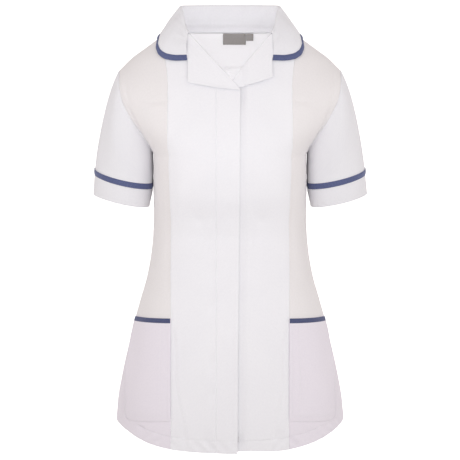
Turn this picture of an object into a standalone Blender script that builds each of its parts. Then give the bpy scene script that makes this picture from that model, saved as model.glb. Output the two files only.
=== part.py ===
# Zip-front tunic, filled out as worn. Metres, +Z up, front faces -Y, origin at mid-neck.
import math

import bpy
import numpy as np

for thing in list(bpy.context.scene.objects):
    bpy.data.objects.remove(thing, do_unlink=True)

# Driving dimensions
WALL = 0.0015
COLLAR_WALL = 0.0016
HALF_GAP = 0.00018
LAYER_GAP = 0.0004
TRIM_WIDTH = 0.010
TRIM_THICK = 0.0011
POCKET_THICK = 0.0013
FLY_EDGE = 0.0180
FLY_EDGE_HEM = 0.0135
UNDER_EDGE = 0.0062
GORGE = (0.0726, -0.021)
BREAK_POINT_Z = -0.1196
TIP_Z = -0.085
ARMPIT_Z = -0.235
ARMHOLE_DEPTH = 0.060
PRINCESS_TOP_Z = -0.0235
YOKE_SEAM_Z = -0.084
YOKE_SIDE_Z = -0.117

# z, half width, front depth, back depth, squareness of each level of the torso
LEVELS = np.array([
    (-0.780, 0.2160, 0.1440, 0.1360, 2.45),
    (-0.7245, 0.2087, 0.1415, 0.1330, 2.45),
    (-0.6815, 0.2048, 0.1380, 0.1300, 2.45),
    (-0.6480, 0.1990, 0.1350, 0.1280, 2.45),
    (-0.6145, 0.1920, 0.1315, 0.1260, 2.45),
    (-0.5923, 0.1868, 0.1290, 0.1245, 2.45),
    (-0.5367, 0.1731, 0.1220, 0.1180, 2.45),
    (-0.4925, 0.1606, 0.1155, 0.1080, 2.45),
    (-0.4593, 0.1510, 0.1120, 0.0980, 2.45),
    (-0.4153, 0.1429, 0.1085, 0.0850, 2.45),
    (-0.3823, 0.1395, 0.1085, 0.0805, 2.45),
    (-0.3494, 0.1381, 0.1140, 0.0815, 2.50),
    (-0.3000, 0.1385, 0.1290, 0.0920, 2.65),
    (-0.2500, 0.1378, 0.1350, 0.1030, 2.75),
    (-0.2350, 0.1376, 0.1345, 0.1045, 2.75),
    (-0.2050, 0.1376, 0.1290, 0.1045, 2.65),
    (-0.1600, 0.1376, 0.1110, 0.1000, 2.40),
    (-0.1200, 0.1376, 0.0930, 0.0930, 2.30),
    (-0.0850, 0.1980, 0.0785, 0.0830, 2.15),
    (-0.0625, 0.1750, 0.0700, 0.0760, 2.05),
    (-0.0494, 0.1570, 0.0650, 0.0720, 2.00),
    (-0.0333, 0.1348, 0.0600, 0.0675, 2.00),
    (-0.0150, 0.1100, 0.0565, 0.0625, 2.00),
    (0.0000, 0.0900, 0.0545, 0.0600, 2.00),
])
# z and half width of the armhole seam
ARMHOLE = np.array([
    (-0.2350, 0.1376),
    (-0.2250, 0.1415),
    (-0.2092, 0.1510),
    (-0.1820, 0.1695),
    (-0.1605, 0.1815),
    (-0.1376, 0.1915),
    (-0.1114, 0.1970),
    (-0.0850, 0.1980),
])
# angle from the side seam in degrees, hem height
HEM = np.array([
    (0.0, -0.7185),
    (15.0, -0.7203),
    (25.0, -0.7242),
    (36.0, -0.7300),
    (44.0, -0.7368),
    (52.0, -0.7442),
    (58.0, -0.7487),
    (64.0, -0.7520),
    (76.0, -0.7548),
    (90.0, -0.7566),
])
# direction in degrees from +X, lean per metre, z, length, width in degrees, outward height
FOLDS = (
    (-118.0, 40.0, -0.352, 0.030, 9.0, -0.0028),
    (-62.0, -40.0, -0.352, 0.030, 9.0, -0.0028),
    (-140.0, 20.0, -0.690, 0.110, 10.0, 0.0034),
    (-35.0, -14.0, -0.680, 0.120, 11.0, 0.0030),
    (-161.0, 10.0, -0.660, 0.110, 8.0, -0.0030),
    (-17.0, 8.0, -0.670, 0.100, 8.0, -0.0026),
    (62.0, 10.0, -0.640, 0.140, 12.0, 0.0040),
    (118.0, -16.0, -0.620, 0.150, 13.0, 0.0036),
    (92.0, 4.0, -0.660, 0.110, 9.0, -0.0030),
    (70.0, 60.0, -0.345, 0.035, 14.0, -0.0034),
    (112.0, -50.0, -0.360, 0.035, 13.0, -0.0030),
)


def smooth(table_x, table_y, x):
    """Monotone cubic through a table: Hermite pieces with harmonic-mean slopes."""
    table_x = np.asarray(table_x, float)
    table_y = np.asarray(table_y, float)
    x = np.clip(np.asarray(x, float), table_x[0], table_x[-1])
    step = np.diff(table_x)
    slope = np.diff(table_y) / step
    before, after = slope[:-1], slope[1:]
    w1 = 2 * step[1:] + step[:-1]
    w2 = step[1:] + 2 * step[:-1]
    same = before * after > 0
    safe_before = np.where(same, before, 1.0)
    safe_after = np.where(same, after, 1.0)
    inner = np.where(same, (w1 + w2) / (w1 / safe_before + w2 / safe_after), 0.0)
    rate = np.concatenate([[slope[0]], inner, [slope[-1]]])
    i = np.clip(np.searchsorted(table_x, x, side="right") - 1, 0, len(step) - 1)
    t = (x - table_x[i]) / step[i]
    h00 = (1 + 2 * t) * (1 - t) ** 2
    h10 = t * (1 - t) ** 2
    h01 = t * t * (3 - 2 * t)
    h11 = t * t * (t - 1)
    return (
        h00 * table_y[i] + h10 * step[i] * rate[i]
        + h01 * table_y[i + 1] + h11 * step[i] * rate[i + 1]
    )


def ease(x, start, end):
    """0 at start, 1 at end, with level ends."""
    t = np.clip((np.asarray(x, float) - start) / (end - start), 0, 1)
    return t * t * (3 - 2 * t)


def armhole_y(z):
    """Distance of the armhole seam from the mid-plane: a half ellipse between tip and armpit."""
    middle = (TIP_Z + ARMPIT_Z) / 2
    half = (TIP_Z - ARMPIT_Z) / 2
    s = np.clip((z - middle) / half, -1, 1)
    return ARMHOLE_DEPTH * np.sqrt(1 - s * s)


def section(z, side):
    """Half width, depth and squareness of the torso's level z; side -1 is the front."""
    z = np.asarray(z, float)
    depth = smooth(LEVELS[:, 0], LEVELS[:, 2 if side < 0 else 3], z)
    square = smooth(LEVELS[:, 0], LEVELS[:, 4], z)
    low = smooth(LEVELS[:15, 0], LEVELS[:15, 1], z)
    high = smooth(LEVELS[18:, 0], LEVELS[18:, 1], z)
    seam = smooth(ARMHOLE[:, 0], ARMHOLE[:, 1], z)
    arm = seam / (1 - (armhole_y(z) / depth) ** square) ** (1 / square)
    wide = np.where(z < ARMPIT_Z, low, np.where(z > TIP_Z, high, arm))
    return wide, depth, square


def folds(x, y, z):
    """Soft troughs and ridges round the torso, each a bump in direction and height."""
    turn = np.degrees(np.arctan2(y, x))
    total = np.zeros(np.shape(turn))
    for toward, lean, level, length, width, height in FOLDS:
        off = turn - toward - lean * (z - level)
        off = (off + 180) % 360 - 180
        total = total + height * np.exp(-((off / width) ** 2)) * np.exp(-(((z - level) / length) ** 2))
    return total


def form(turn, z, side, mirror=1):
    """Point of the torso's surface: x = a c/q, y = side d s/q, q = (|c|^n + |s|^n)^(1/n)."""
    turn, z = np.broadcast_arrays(np.asarray(turn, float), np.asarray(z, float))
    wide, depth, square = section(z, side)
    c, s = np.cos(turn), np.sin(turn)
    q = (np.abs(c) ** square + np.abs(s) ** square) ** (1 / square)
    x = wide * c / q * mirror
    y = side * depth * s / q
    reach = np.hypot(x, y)
    grow = 1 + folds(x, y, z) * ease(z, -0.12, -0.20) / reach
    return np.stack([x * grow, y * grow, z], axis=-1)


def turn_at(x, z, side):
    """Angle of the surface point that has this x at level z."""
    wide, _, square = section(z, side)
    across = np.clip(np.asarray(x, float) / wide, -0.999999, 0.999999)
    up = (1 - np.abs(across) ** square) ** (1 / square)
    return np.arctan2(up, across)


def outward(turn, z, side, mirror=1):
    """Unit normal of the torso's surface, from central differences."""
    step = 1e-4
    along = form(turn + step, z, side, mirror) - form(turn - step, z, side, mirror)
    high = np.minimum(z + step, 0.0)
    up = form(turn, high, side, mirror) - form(turn, high - 2 * step, side, mirror)
    normal = np.cross(along, up)
    normal /= np.linalg.norm(normal, axis=-1, keepdims=True)
    point = form(turn, z, side, mirror)
    facing = np.sum(normal[..., :2] * point[..., :2], axis=-1, keepdims=True)
    return normal * np.where(facing < 0, -1, 1)


def turn_gap(turn, z, side):
    """Angle that spans half a seam gap on the surface."""
    step = 1e-3
    reach = np.linalg.norm(form(turn + step, z, side) - form(turn - step, z, side), axis=-1)
    return HALF_GAP * 2 * step / reach


def material(name, colour, roughness, metallic=0.0):
    made = bpy.data.materials.new(name)
    made.use_nodes = True
    shader = made.node_tree.nodes["Principled BSDF"]
    shader.inputs["Base Color"].default_value = (*colour, 1.0)
    shader.inputs["Roughness"].default_value = roughness
    shader.inputs["Metallic"].default_value = metallic
    return made


CLOTH = material("white_polycotton", (0.83, 0.83, 0.85), 0.85)
BRAID = material("navy_braid", (0.045, 0.065, 0.19), 0.8)
TAPE = material("zip_tape", (0.80, 0.80, 0.82), 0.85)
TEETH = material("zip_teeth", (0.78, 0.78, 0.80), 0.45)
METAL = material("zip_metal", (0.62, 0.62, 0.64), 0.35, 1.0)
LABEL = material("label_satin", (0.45, 0.45, 0.47), 0.6)


def solid(name, points, faces, look):
    """One closed body with its faces outward."""
    points = np.asarray(points, float)
    volume = 0.0
    for face in faces:
        for k in range(1, len(face) - 1):
            a, b, c = points[face[0]], points[face[k]], points[face[k + 1]]
            volume += np.dot(a, np.cross(b, c))
    if volume < 0:
        faces = [tuple(reversed(face)) for face in faces]
    mesh = bpy.data.meshes.new(name)
    mesh.from_pydata(points.tolist(), [], faces)
    mesh.materials.append(look)
    thing = bpy.data.objects.new(name, mesh)
    bpy.context.scene.collection.objects.link(thing)
    mesh.shade_smooth()
    mesh.set_sharp_from_angle(angle=math.radians(40))
    return thing


def wall(name, outer, inner, look, closed=False):
    """Cloth wall between two grids of points; closed joins the last row to the first."""
    rows, cols = outer.shape[:2]
    points = np.concatenate([outer.reshape(-1, 3), inner.reshape(-1, 3)])
    count = rows * cols
    faces = []
    spans = rows if closed else rows - 1
    for i in range(spans):
        k = (i + 1) % rows
        for j in range(cols - 1):
            a, b, c, d = i * cols + j, k * cols + j, k * cols + j + 1, i * cols + j + 1
            faces.append((a, b, c, d))
            faces.append((count + a, count + d, count + c, count + b))
        for j in (0, cols - 1):
            a, b = i * cols + j, k * cols + j
            rim = (a, count + a, count + b, b)
            faces.append(rim if j == 0 else tuple(reversed(rim)))
    if not closed:
        for j in range(cols - 1):
            a, b = j, j + 1
            faces.append((b, count + b, count + a, a))
            a, b = (rows - 1) * cols + j, (rows - 1) * cols + j + 1
            faces.append((a, count + a, count + b, b))
    return solid(name, points, faces, look)


def grid_normals(grid, closed=False):
    """Unit normals of a grid of points, from its neighbours."""
    if closed:
        along = np.roll(grid, -1, axis=0) - np.roll(grid, 1, axis=0)
    else:
        along = np.gradient(grid, axis=0)
    across = np.gradient(grid, axis=1)
    normal = np.cross(along, across)
    return normal / np.maximum(np.linalg.norm(normal, axis=-1, keepdims=True), 1e-12)


# Levels of the panels' rows, from the shoulder to the hem
PRINCESS_Z = np.array([
    -0.0235, -0.034, -0.046, -0.060, -0.074, -0.088, -0.102, -0.116, -0.130, -0.146, -0.165,
    -0.185, -0.205, -0.225, -0.247, -0.275, -0.305, -0.335, -0.365, -0.395, -0.425, -0.455,
    -0.488, -0.5195, -0.5295, -0.565, -0.600, -0.635, -0.670, -0.701, -0.7285, -0.7520,
])
CENTRE_Z = np.array([
    0.0, -0.0105, -0.021, -0.036, -0.051, -0.066, -0.080, -0.094, -0.1075, BREAK_POINT_Z, -0.142,
    -0.166, -0.190, -0.215, -0.242, -0.275, -0.305, -0.335, -0.365, -0.395, -0.425, -0.455,
    -0.488, -0.5195, -0.5295, -0.565, -0.600, -0.635, -0.670, -0.703, -0.733, -0.7566,
])
SIDE_Z = np.array([
    -0.085, -0.088, -0.094, -0.103, -0.114, -0.127, -0.141, -0.156, -0.171, -0.186, -0.200,
    -0.213, -0.225, -0.235, -0.254, -0.279, -0.307, -0.335, -0.365, -0.395, -0.425, -0.457,
    -0.493, -0.533, -0.543, -0.575, -0.606, -0.636, -0.667, -0.6965, -0.7065, -0.7185,
])
PRINCESS_X = np.array([
    (-0.780, 0.1060), (-0.700, 0.1040), (-0.560, 0.1043), (-0.450, 0.1030), (-0.357, 0.1010),
    (-0.240, 0.1060), (-0.165, 0.1085), (-0.115, 0.1095), (-0.060, 0.1155), (-0.0235, 0.1235),
])
POCKET_X = np.array([
    (-0.780, 0.1500), (-0.718, 0.1740), (-0.702, 0.1850), (-0.680, 0.1898), (-0.650, 0.1895),
    (-0.620, 0.1870), (-0.590, 0.1810), (-0.560, 0.1760), (-0.535, 0.1710), (-0.500, 0.1590),
    (-0.450, 0.1420), (-0.360, 0.1270), (-0.235, 0.1270), (-0.180, 0.1400), (-0.085, 0.1600),
    (-0.0235, 0.1350),
])


def hem_z(turn):
    """Height of the hem at an angle from either side seam."""
    return smooth(HEM[:, 0], HEM[:, 1], 90 - np.abs(np.degrees(turn) - 90))


def princess_turn(z):
    """Angle of the princess seam; at its top it reaches the shoulder seam."""
    x = smooth(PRINCESS_X[:, 0], PRINCESS_X[:, 1], z)
    angle = turn_at(x, z, -1)
    return angle * ease(z, PRINCESS_TOP_Z, PRINCESS_TOP_Z - 0.012)


def roll_x(z, low_z, low_x):
    """Straight roll line from the gorge down to the break point."""
    t = (z - GORGE[1]) / (low_z - GORGE[1])
    return GORGE[0] + (low_x - GORGE[0]) * t


def centre_turn(z, lap):
    """Angle of the front's inner edge: neck, roll line, then the centre front edge."""
    low_x = -FLY_EDGE if lap else -0.001
    low_z = BREAK_POINT_Z if lap else -0.1082
    fly = -(FLY_EDGE + (FLY_EDGE_HEM - FLY_EDGE) * ease(z, -0.12, -0.75))
    under = np.where(z > -0.120, -0.001 + (UNDER_EDGE + 0.001) * ease(z, -0.1082, -0.120), UNDER_EDGE)
    edge = fly if lap else under
    line = roll_x(z, low_z, low_x)
    x = np.where(z > low_z, line + 0.0022 * ease(z, -0.045, -0.021), edge)
    gorge_turn = turn_at(GORGE[0] + 0.0022, GORGE[1], -1)
    neck = gorge_turn * np.clip(z / GORGE[1], 0, 1) ** 0.75
    return np.where(z >= GORGE[1], neck, turn_at(x, np.minimum(z, -0.001), -1))


def step_in(x, z):
    """Depth by which the under front lies below the fly."""
    deep = 0.0021 + 0.0023 * ease(z, -0.160, -0.124)
    return deep * ease(x, 0.033, 0.021)


def front_centre(name, mirror, lap):
    """Centre front: rows run from the princess seam to the neck, roll line and front edge."""
    centre_z = CENTRE_Z
    shares = np.linspace(0, 1, 11) if lap else np.array(
        [0, 0.15, 0.30, 0.45, 0.58, 0.70, 0.745, 0.79, 0.835, 0.88, 0.94, 1.0]
    )
    first = princess_turn(PRINCESS_Z)
    first = first + turn_gap(first, PRINCESS_Z, -1)
    last = centre_turn(centre_z, lap)
    first[0] = 0.003
    last[0] = 0.003
    z = PRINCESS_Z[:, None] + (centre_z - PRINCESS_Z)[:, None] * shares
    z[0, 1:-1] = PRINCESS_TOP_Z + (centre_z[0] - PRINCESS_TOP_Z) * shares[1:-1]
    z[0, 0] += 0.0004
    turn = first[:, None] + (last - first)[:, None] * shares
    z[-1] = hem_z(turn[-1])
    if not lap:
        z[-1] += 0.0038 * ease(turn[-1], math.radians(66), math.radians(82))
    outer = form(turn, z, -1, mirror)
    normal = outward(turn, z, -1, mirror)
    if not lap:
        outer = outer - normal * step_in(outer[..., 0] * mirror, z)[..., None]
    wall(name, outer, outer - normal * WALL, CLOTH)
    return outer, normal, z


def front_side(name, mirror):
    """Side front: princess seam to armhole and side seam, split by the pocket's outer line."""
    princess = princess_turn(PRINCESS_Z)
    first = princess - turn_gap(princess, PRINCESS_Z, -1)
    side = np.where(
        SIDE_Z > ARMPIT_Z,
        turn_at(smooth(ARMHOLE[:, 0], ARMHOLE[:, 1], SIDE_Z), SIDE_Z, -1),
        0.0,
    )
    last = side + turn_gap(side, SIDE_Z, -1)
    first[0] = 0.003
    last[0] = 0.003
    mid_z = PRINCESS_Z * 0.4 + SIDE_Z * 0.6
    pocket = turn_at(smooth(POCKET_X[:, 0], POCKET_X[:, 1], mid_z), mid_z, -1)
    pocket = np.clip(pocket, last + 0.22 * (first - last), last + 0.62 * (first - last))
    inner_share = np.linspace(0, 1, 7)
    outer_share = np.linspace(0, 1, 5)[1:]
    turn = np.concatenate([
        first[:, None] + (pocket - first)[:, None] * inner_share,
        pocket[:, None] + (last - pocket)[:, None] * outer_share,
    ], axis=1)
    share = (first[:, None] - turn) / np.maximum(first - last, 1e-9)[:, None]
    share[0] = np.linspace(0, 1, turn.shape[1])
    z = PRINCESS_Z[:, None] + (SIDE_Z - PRINCESS_Z)[:, None] * share
    z[0, 0] -= 0.0004
    degrees = np.degrees(turn)
    z[-1] = hem_z(turn[-1])
    z[-2] = hem_z(turn[-2]) + np.interp(degrees[-2], [0, 36, 62], [0.012, 0.016, 0.0235])
    z[-3] = np.interp(degrees[-3], [0, 20, 36, 50, 62], [-0.6965, -0.7015, -0.7080, -0.7050, -0.7010])
    outer = form(turn, z, -1, mirror)
    normal = outward(turn, z, -1, mirror)
    wall(name, outer, outer - normal * WALL, CLOTH)
    return outer, normal


def back_yoke():
    """Back yoke: shoulder and neck seams above, the yoke seam below."""
    per_shoulder, per_neck = 6, 16
    shoulder_z = np.linspace(TIP_Z, 0.0, per_shoulder + 1)
    neck_turn = np.linspace(0, math.pi, per_neck + 1)[1:-1]
    top_turn = np.concatenate([
        np.full(per_shoulder + 1, 0.003), neck_turn, np.full(per_shoulder + 1, math.pi - 0.003)
    ])
    top_z = np.concatenate([shoulder_z, -0.019 * np.sin(neck_turn) ** 1.6, shoulder_z[::-1]])
    top_z[0] += 0.0002
    top_z[-1] += 0.0002
    count = len(top_turn)
    share = np.linspace(0, 1, count)
    side_turn = yoke_side_turn()
    low_turn = side_turn + (math.pi - 2 * side_turn) * share
    low_z = yoke_seam_z(low_turn) + HALF_GAP
    v = np.linspace(0, 1, 8)[:, None]
    turn = (top_turn + (low_turn - top_turn) * v).T
    z = (top_z + (low_z - top_z) * v).T
    edge_z = z[0]
    arm = turn_at(smooth(ARMHOLE[:, 0], ARMHOLE[:, 1], edge_z), edge_z, 1)
    arm = arm + turn_gap(arm, edge_z, 1)
    turn[0] = np.maximum(arm, 0.003)
    turn[-1] = math.pi - turn[0]
    outer = form(turn, z, 1)
    normal = outward(turn, z, 1)
    wall("back_yoke", outer, outer - normal * WALL, CLOTH)
    return outer, normal, turn, z


def yoke_side_turn():
    """Angle at which the yoke seam meets the back armhole."""
    turn = float(turn_at(smooth(ARMHOLE[:, 0], ARMHOLE[:, 1], YOKE_SIDE_Z), YOKE_SIDE_Z, 1))
    return turn + float(turn_gap(turn, YOKE_SIDE_Z, 1))


def yoke_seam_z(turn):
    """Height of the yoke seam: level in the middle, lower towards the armholes."""
    side = yoke_side_turn()
    across = np.abs((turn - math.pi / 2) / (math.pi / 2 - side))
    return YOKE_SEAM_Z + (YOKE_SIDE_Z - YOKE_SEAM_Z) * across ** 2.2


def back():
    """Back below the yoke seam, from armhole to armhole and down to the hem."""
    side_z = np.concatenate([
        [YOKE_SIDE_Z], np.array([-0.130, -0.146, -0.164, -0.182, -0.200, -0.217, ARMPIT_Z]), SIDE_Z[14:]
    ])
    low_arm = turn_at(smooth(ARMHOLE[:, 0], ARMHOLE[:, 1], side_z), side_z, 1)
    edge = np.where(side_z > ARMPIT_Z, low_arm, 0.0)
    edge = edge + turn_gap(edge, side_z, 1)
    count = 23
    share = np.linspace(0, 1, count)
    even = math.radians(27) * (1 - ease(side_z, -0.130, -0.330))
    near = (1 - 2 * np.minimum(share, 1 - share)) ** 5 * np.sign(0.5 - share)
    turn = even[:, None] + (math.pi - 2 * even[:, None]) * share + (edge - even)[:, None] * near
    turn = turn.T
    top = yoke_seam_z(turn[:, 0]) - HALF_GAP
    hem = hem_z(turn[:, -1])
    fall = (side_z - side_z[0]) / (side_z[-1] - side_z[0])
    z = top[:, None] + (hem - top)[:, None] * fall
    z[0] = side_z
    z[-1] = side_z
    z[0, 0] = z[-1, 0] = YOKE_SIDE_Z - HALF_GAP
    outer = form(turn, z, 1)
    normal = outward(turn, z, 1)
    wall("back", outer, outer - normal * WALL, CLOTH)


# Sleeve rings: centre x, half width, half depth, height, slope outward, slope forward
SLEEVE_END = (0.1912, 0.0536, 0.0560, -0.2793, 0.2286, 0.110)
CUFF_HEM = (0.1972, 0.0510, 0.0550, -0.3195, 0.2300, 0.050)
AROUND = 26


def ring(shape, angle, lift=0.0):
    """Tilted ellipse round the sleeve; angle 0 is outward, a quarter turn is the front."""
    x0, rx, ry, z0, out, forward = shape
    x = x0 + rx * np.cos(angle)
    y = -ry * np.sin(angle)
    z = z0 + out * (x - x0) + forward * y + lift
    return np.stack([x, y, z], axis=-1)


def sleeve_columns(angle):
    """Cubic from each armhole point to the sleeve's end ring: start, two handles, end."""
    middle = (TIP_Z + ARMPIT_Z) / 2
    half = (TIP_Z - ARMPIT_Z) / 2
    z = middle + half * np.cos(angle)
    x = smooth(ARMHOLE[:, 0], ARMHOLE[:, 1], z)
    y = -ARMHOLE_DEPTH * np.sin(angle)
    start = np.stack([x, y, z], axis=-1)
    high = (1 + np.cos(angle)) / 2
    under = 1 - high
    start[:, 0] += 0.0011 + 0.0002 * under
    start[:, 2] -= 0.0002 * high
    end = ring(SLEEVE_END, angle)
    leave = np.stack([0.04 + 0.55 * high, -0.16 * np.sin(angle), -1 + 0 * high], axis=-1)
    leave /= np.linalg.norm(leave, axis=-1, keepdims=True)
    arrive = np.stack([0.02 + 0.11 * high, 0.03 * np.sin(angle), -1 + 0 * high], axis=-1)
    arrive /= np.linalg.norm(arrive, axis=-1, keepdims=True)
    reach = 0.27 * np.linalg.norm(end - start, axis=-1, keepdims=True)
    return start, start + leave * reach, end - arrive * reach, end


def clear_of_body(points, margin):
    """Points of a sleeve held off the torso's side, further off where its braid passes."""
    x, y, z = points[..., 0], points[..., 1], points[..., 2]
    low = np.minimum(z, ARMPIT_Z - 0.0005)
    wide, deep, square = section(low, -1)
    _, rear, _ = section(low, 1)
    reach = np.clip(np.abs(y) / np.where(y < 0, deep, rear), 0, 0.98)
    body = wide * (1 - reach ** square) ** (1 / square)
    room = margin + 0.0025 * ease(z, -0.262, -0.280)
    held = np.where(z < ARMPIT_Z, np.maximum(x, body + room), x)
    return np.stack([held, y, z], axis=-1)


def sleeve(side, mirror):
    """Short set-in sleeve, its cuff band and the braid over their seam."""
    angle = np.arange(AROUND) * 2 * math.pi / AROUND
    p0, p1, p2, p3 = sleeve_columns(angle)
    v = np.linspace(0, 1, 9)[None, :, None]
    outer = (
        (1 - v) ** 3 * p0[:, None] + 3 * (1 - v) ** 2 * v * p1[:, None]
        + 3 * (1 - v) * v * v * p2[:, None] + v ** 3 * p3[:, None]
    )
    outer = clear_of_body(outer, 0.0011)
    flip = np.array([mirror, 1, 1])
    normal = grid_normals(outer, closed=True)
    away = outer - outer.mean(axis=0, keepdims=True)
    normal = normal * np.where(np.sum(normal * away, axis=-1, keepdims=True) < 0, -1, 1)
    wall(f"sleeve_{side}", outer * flip, (outer - normal * WALL) * flip, CLOTH, closed=True)
    heights = np.array([0.0, 0.35, 0.7, 1.0])
    top = ring(SLEEVE_END, angle, -0.0004)
    low = ring(CUFF_HEM, angle)
    cuff = clear_of_body(top[:, None] + (low - top)[:, None] * heights[None, :, None], 0.0011)
    normal = grid_normals(cuff, closed=True)
    away = cuff - cuff.mean(axis=0, keepdims=True)
    normal = normal * np.where(np.sum(normal * away, axis=-1, keepdims=True) < 0, -1, 1)
    wall(f"cuff_{side}", cuff * flip, (cuff - normal * WALL * 1.4) * flip, CLOTH, closed=True)
    lift = np.array([0.0048, 0.0, -0.0048])
    crown = np.array([0.0, 0.0004, 0.0])
    band = clear_of_body(np.stack([ring(SLEEVE_END, angle, h) for h in lift], axis=1), 0.0011)
    radial = band - np.array([SLEEVE_END[0], 0, SLEEVE_END[3]])
    radial[..., 2] = 0
    radial /= np.linalg.norm(radial, axis=-1, keepdims=True)
    inner = band + radial * 0.0009
    outer = inner + radial * (TRIM_THICK + crown)[None, :, None]
    wall(f"cuff_trim_{side}", outer * flip, inner * flip, BRAID, closed=True)


def lapel(name, mirror, lap):
    """Turned-back lapel: gorge, tip, front edge and the roll line's middle as four corners."""
    tip_z = -0.1067 if lap else -0.0985
    roll_end = (-FLY_EDGE, BREAK_POINT_Z)
    middle = (0.022, -0.0763)
    gorge = (GORGE[0], GORGE[1] - 0.0012)
    tip = (0.0740, tip_z)
    if not lap:
        middle = (0.026, -0.0770)
        roll_end = (0.0025, -0.1062)
    u = np.linspace(0, 1, 9)[:, None, None]
    v = np.linspace(0, 1, 9)[None, :, None]
    sag = 0.0016 if lap else 0.0010
    g, t, m, k = (np.array(p) for p in (gorge, tip, middle, roll_end))
    upper = g + (t - g) * u
    lower = m + (k - m) * u
    end = t + (k - t) * v
    end = end + np.array([0.0, -1.0]) * (sag * 4 * v * (1 - v))
    start = g + (m - g) * v
    if not lap:
        corner, k = k, np.array((0.0060, -0.1160))
        end = t + (k - t) * v + np.array([0.0, -1.0]) * (0.0016 * 4 * v * (1 - v))
        lower = np.where(u < 0.75, m + (corner - m) * u / 0.75, corner + (k - corner) * (u - 0.75) / 0.25)
    flat = (
        (1 - v) * upper + v * lower + (1 - u) * start + u * end
        - (1 - u) * (1 - v) * g - u * (1 - v) * t - (1 - u) * v * m - u * v * k
    )
    x, z = flat[..., 0], flat[..., 1]
    turn = turn_at(x, z, -1)
    base = form(turn, z, -1, mirror)
    normal = outward(turn, z, -1, mirror)
    tilt = u[..., 0] * (1 - 0.75 * v[..., 0])
    if lap:
        stand = 0.0008 + 0.0022 * tilt
    else:
        stand = 0.0012 + 0.0034 * tilt * ease(x, 0.020, 0.050) - step_in(x, z)
    under = base + normal * stand[..., None]
    wall(name, under + normal * COLLAR_WALL, under, CLOTH)
    return under, normal


# Place along the collar: -1 gorge, 0 side of the neck, 1 centre back
ROLL = np.array([
    (-1.00, 0.0728, -0.0495, -0.0180),
    (-0.66, 0.0775, -0.0350, -0.0080),
    (-0.33, 0.0815, -0.0210, 0.0070),
    (0.00, 0.0858, -0.0040, 0.0215),
    (0.15, 0.0882, 0.0100, 0.0290),
    (0.35, 0.0830, 0.0350, 0.0315),
    (0.60, 0.0620, 0.0560, 0.0322),
    (0.80, 0.0330, 0.0660, 0.0325),
    (1.00, 0.0000, 0.0690, 0.0325),
])
# Place, angle of the fall's edge (front positive), its height, its stand-off, outward swell
FALL = np.array([
    (-1.00, 65.7, -0.0672, 0.0034, 0.0022),
    (-0.80, 58.9, -0.0680, 0.0033, 0.0035),
    (-0.60, 52.0, -0.0660, 0.0034, 0.0055),
    (-0.42, 44.4, -0.0600, 0.0036, 0.0070),
    (-0.25, 34.0, -0.0485, 0.0036, 0.0070),
    (-0.10, 22.0, -0.0362, 0.0034, 0.0050),
    (0.02, 8.0, -0.0290, 0.0032, 0.0030),
    (0.15, -10.0, -0.0288, 0.0034, 0.0020),
    (0.35, -33.0, -0.0350, 0.0040, 0.0035),
    (0.60, -57.0, -0.0400, 0.0045, 0.0045),
    (0.80, -75.0, -0.0415, 0.0045, 0.0045),
    (1.00, -90.0, -0.0420, 0.0045, 0.0045),
])


def two_sided(function, signed_turn, z):
    """A front or back surface function, chosen by the angle's sign."""
    front = function(np.abs(signed_turn), z, -1)
    rear = function(np.abs(signed_turn), z, 1)
    return np.where((signed_turn >= 0)[..., None], front, rear)


def unit(vector):
    return vector / np.maximum(np.linalg.norm(vector, axis=-1, keepdims=True), 1e-12)


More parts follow.
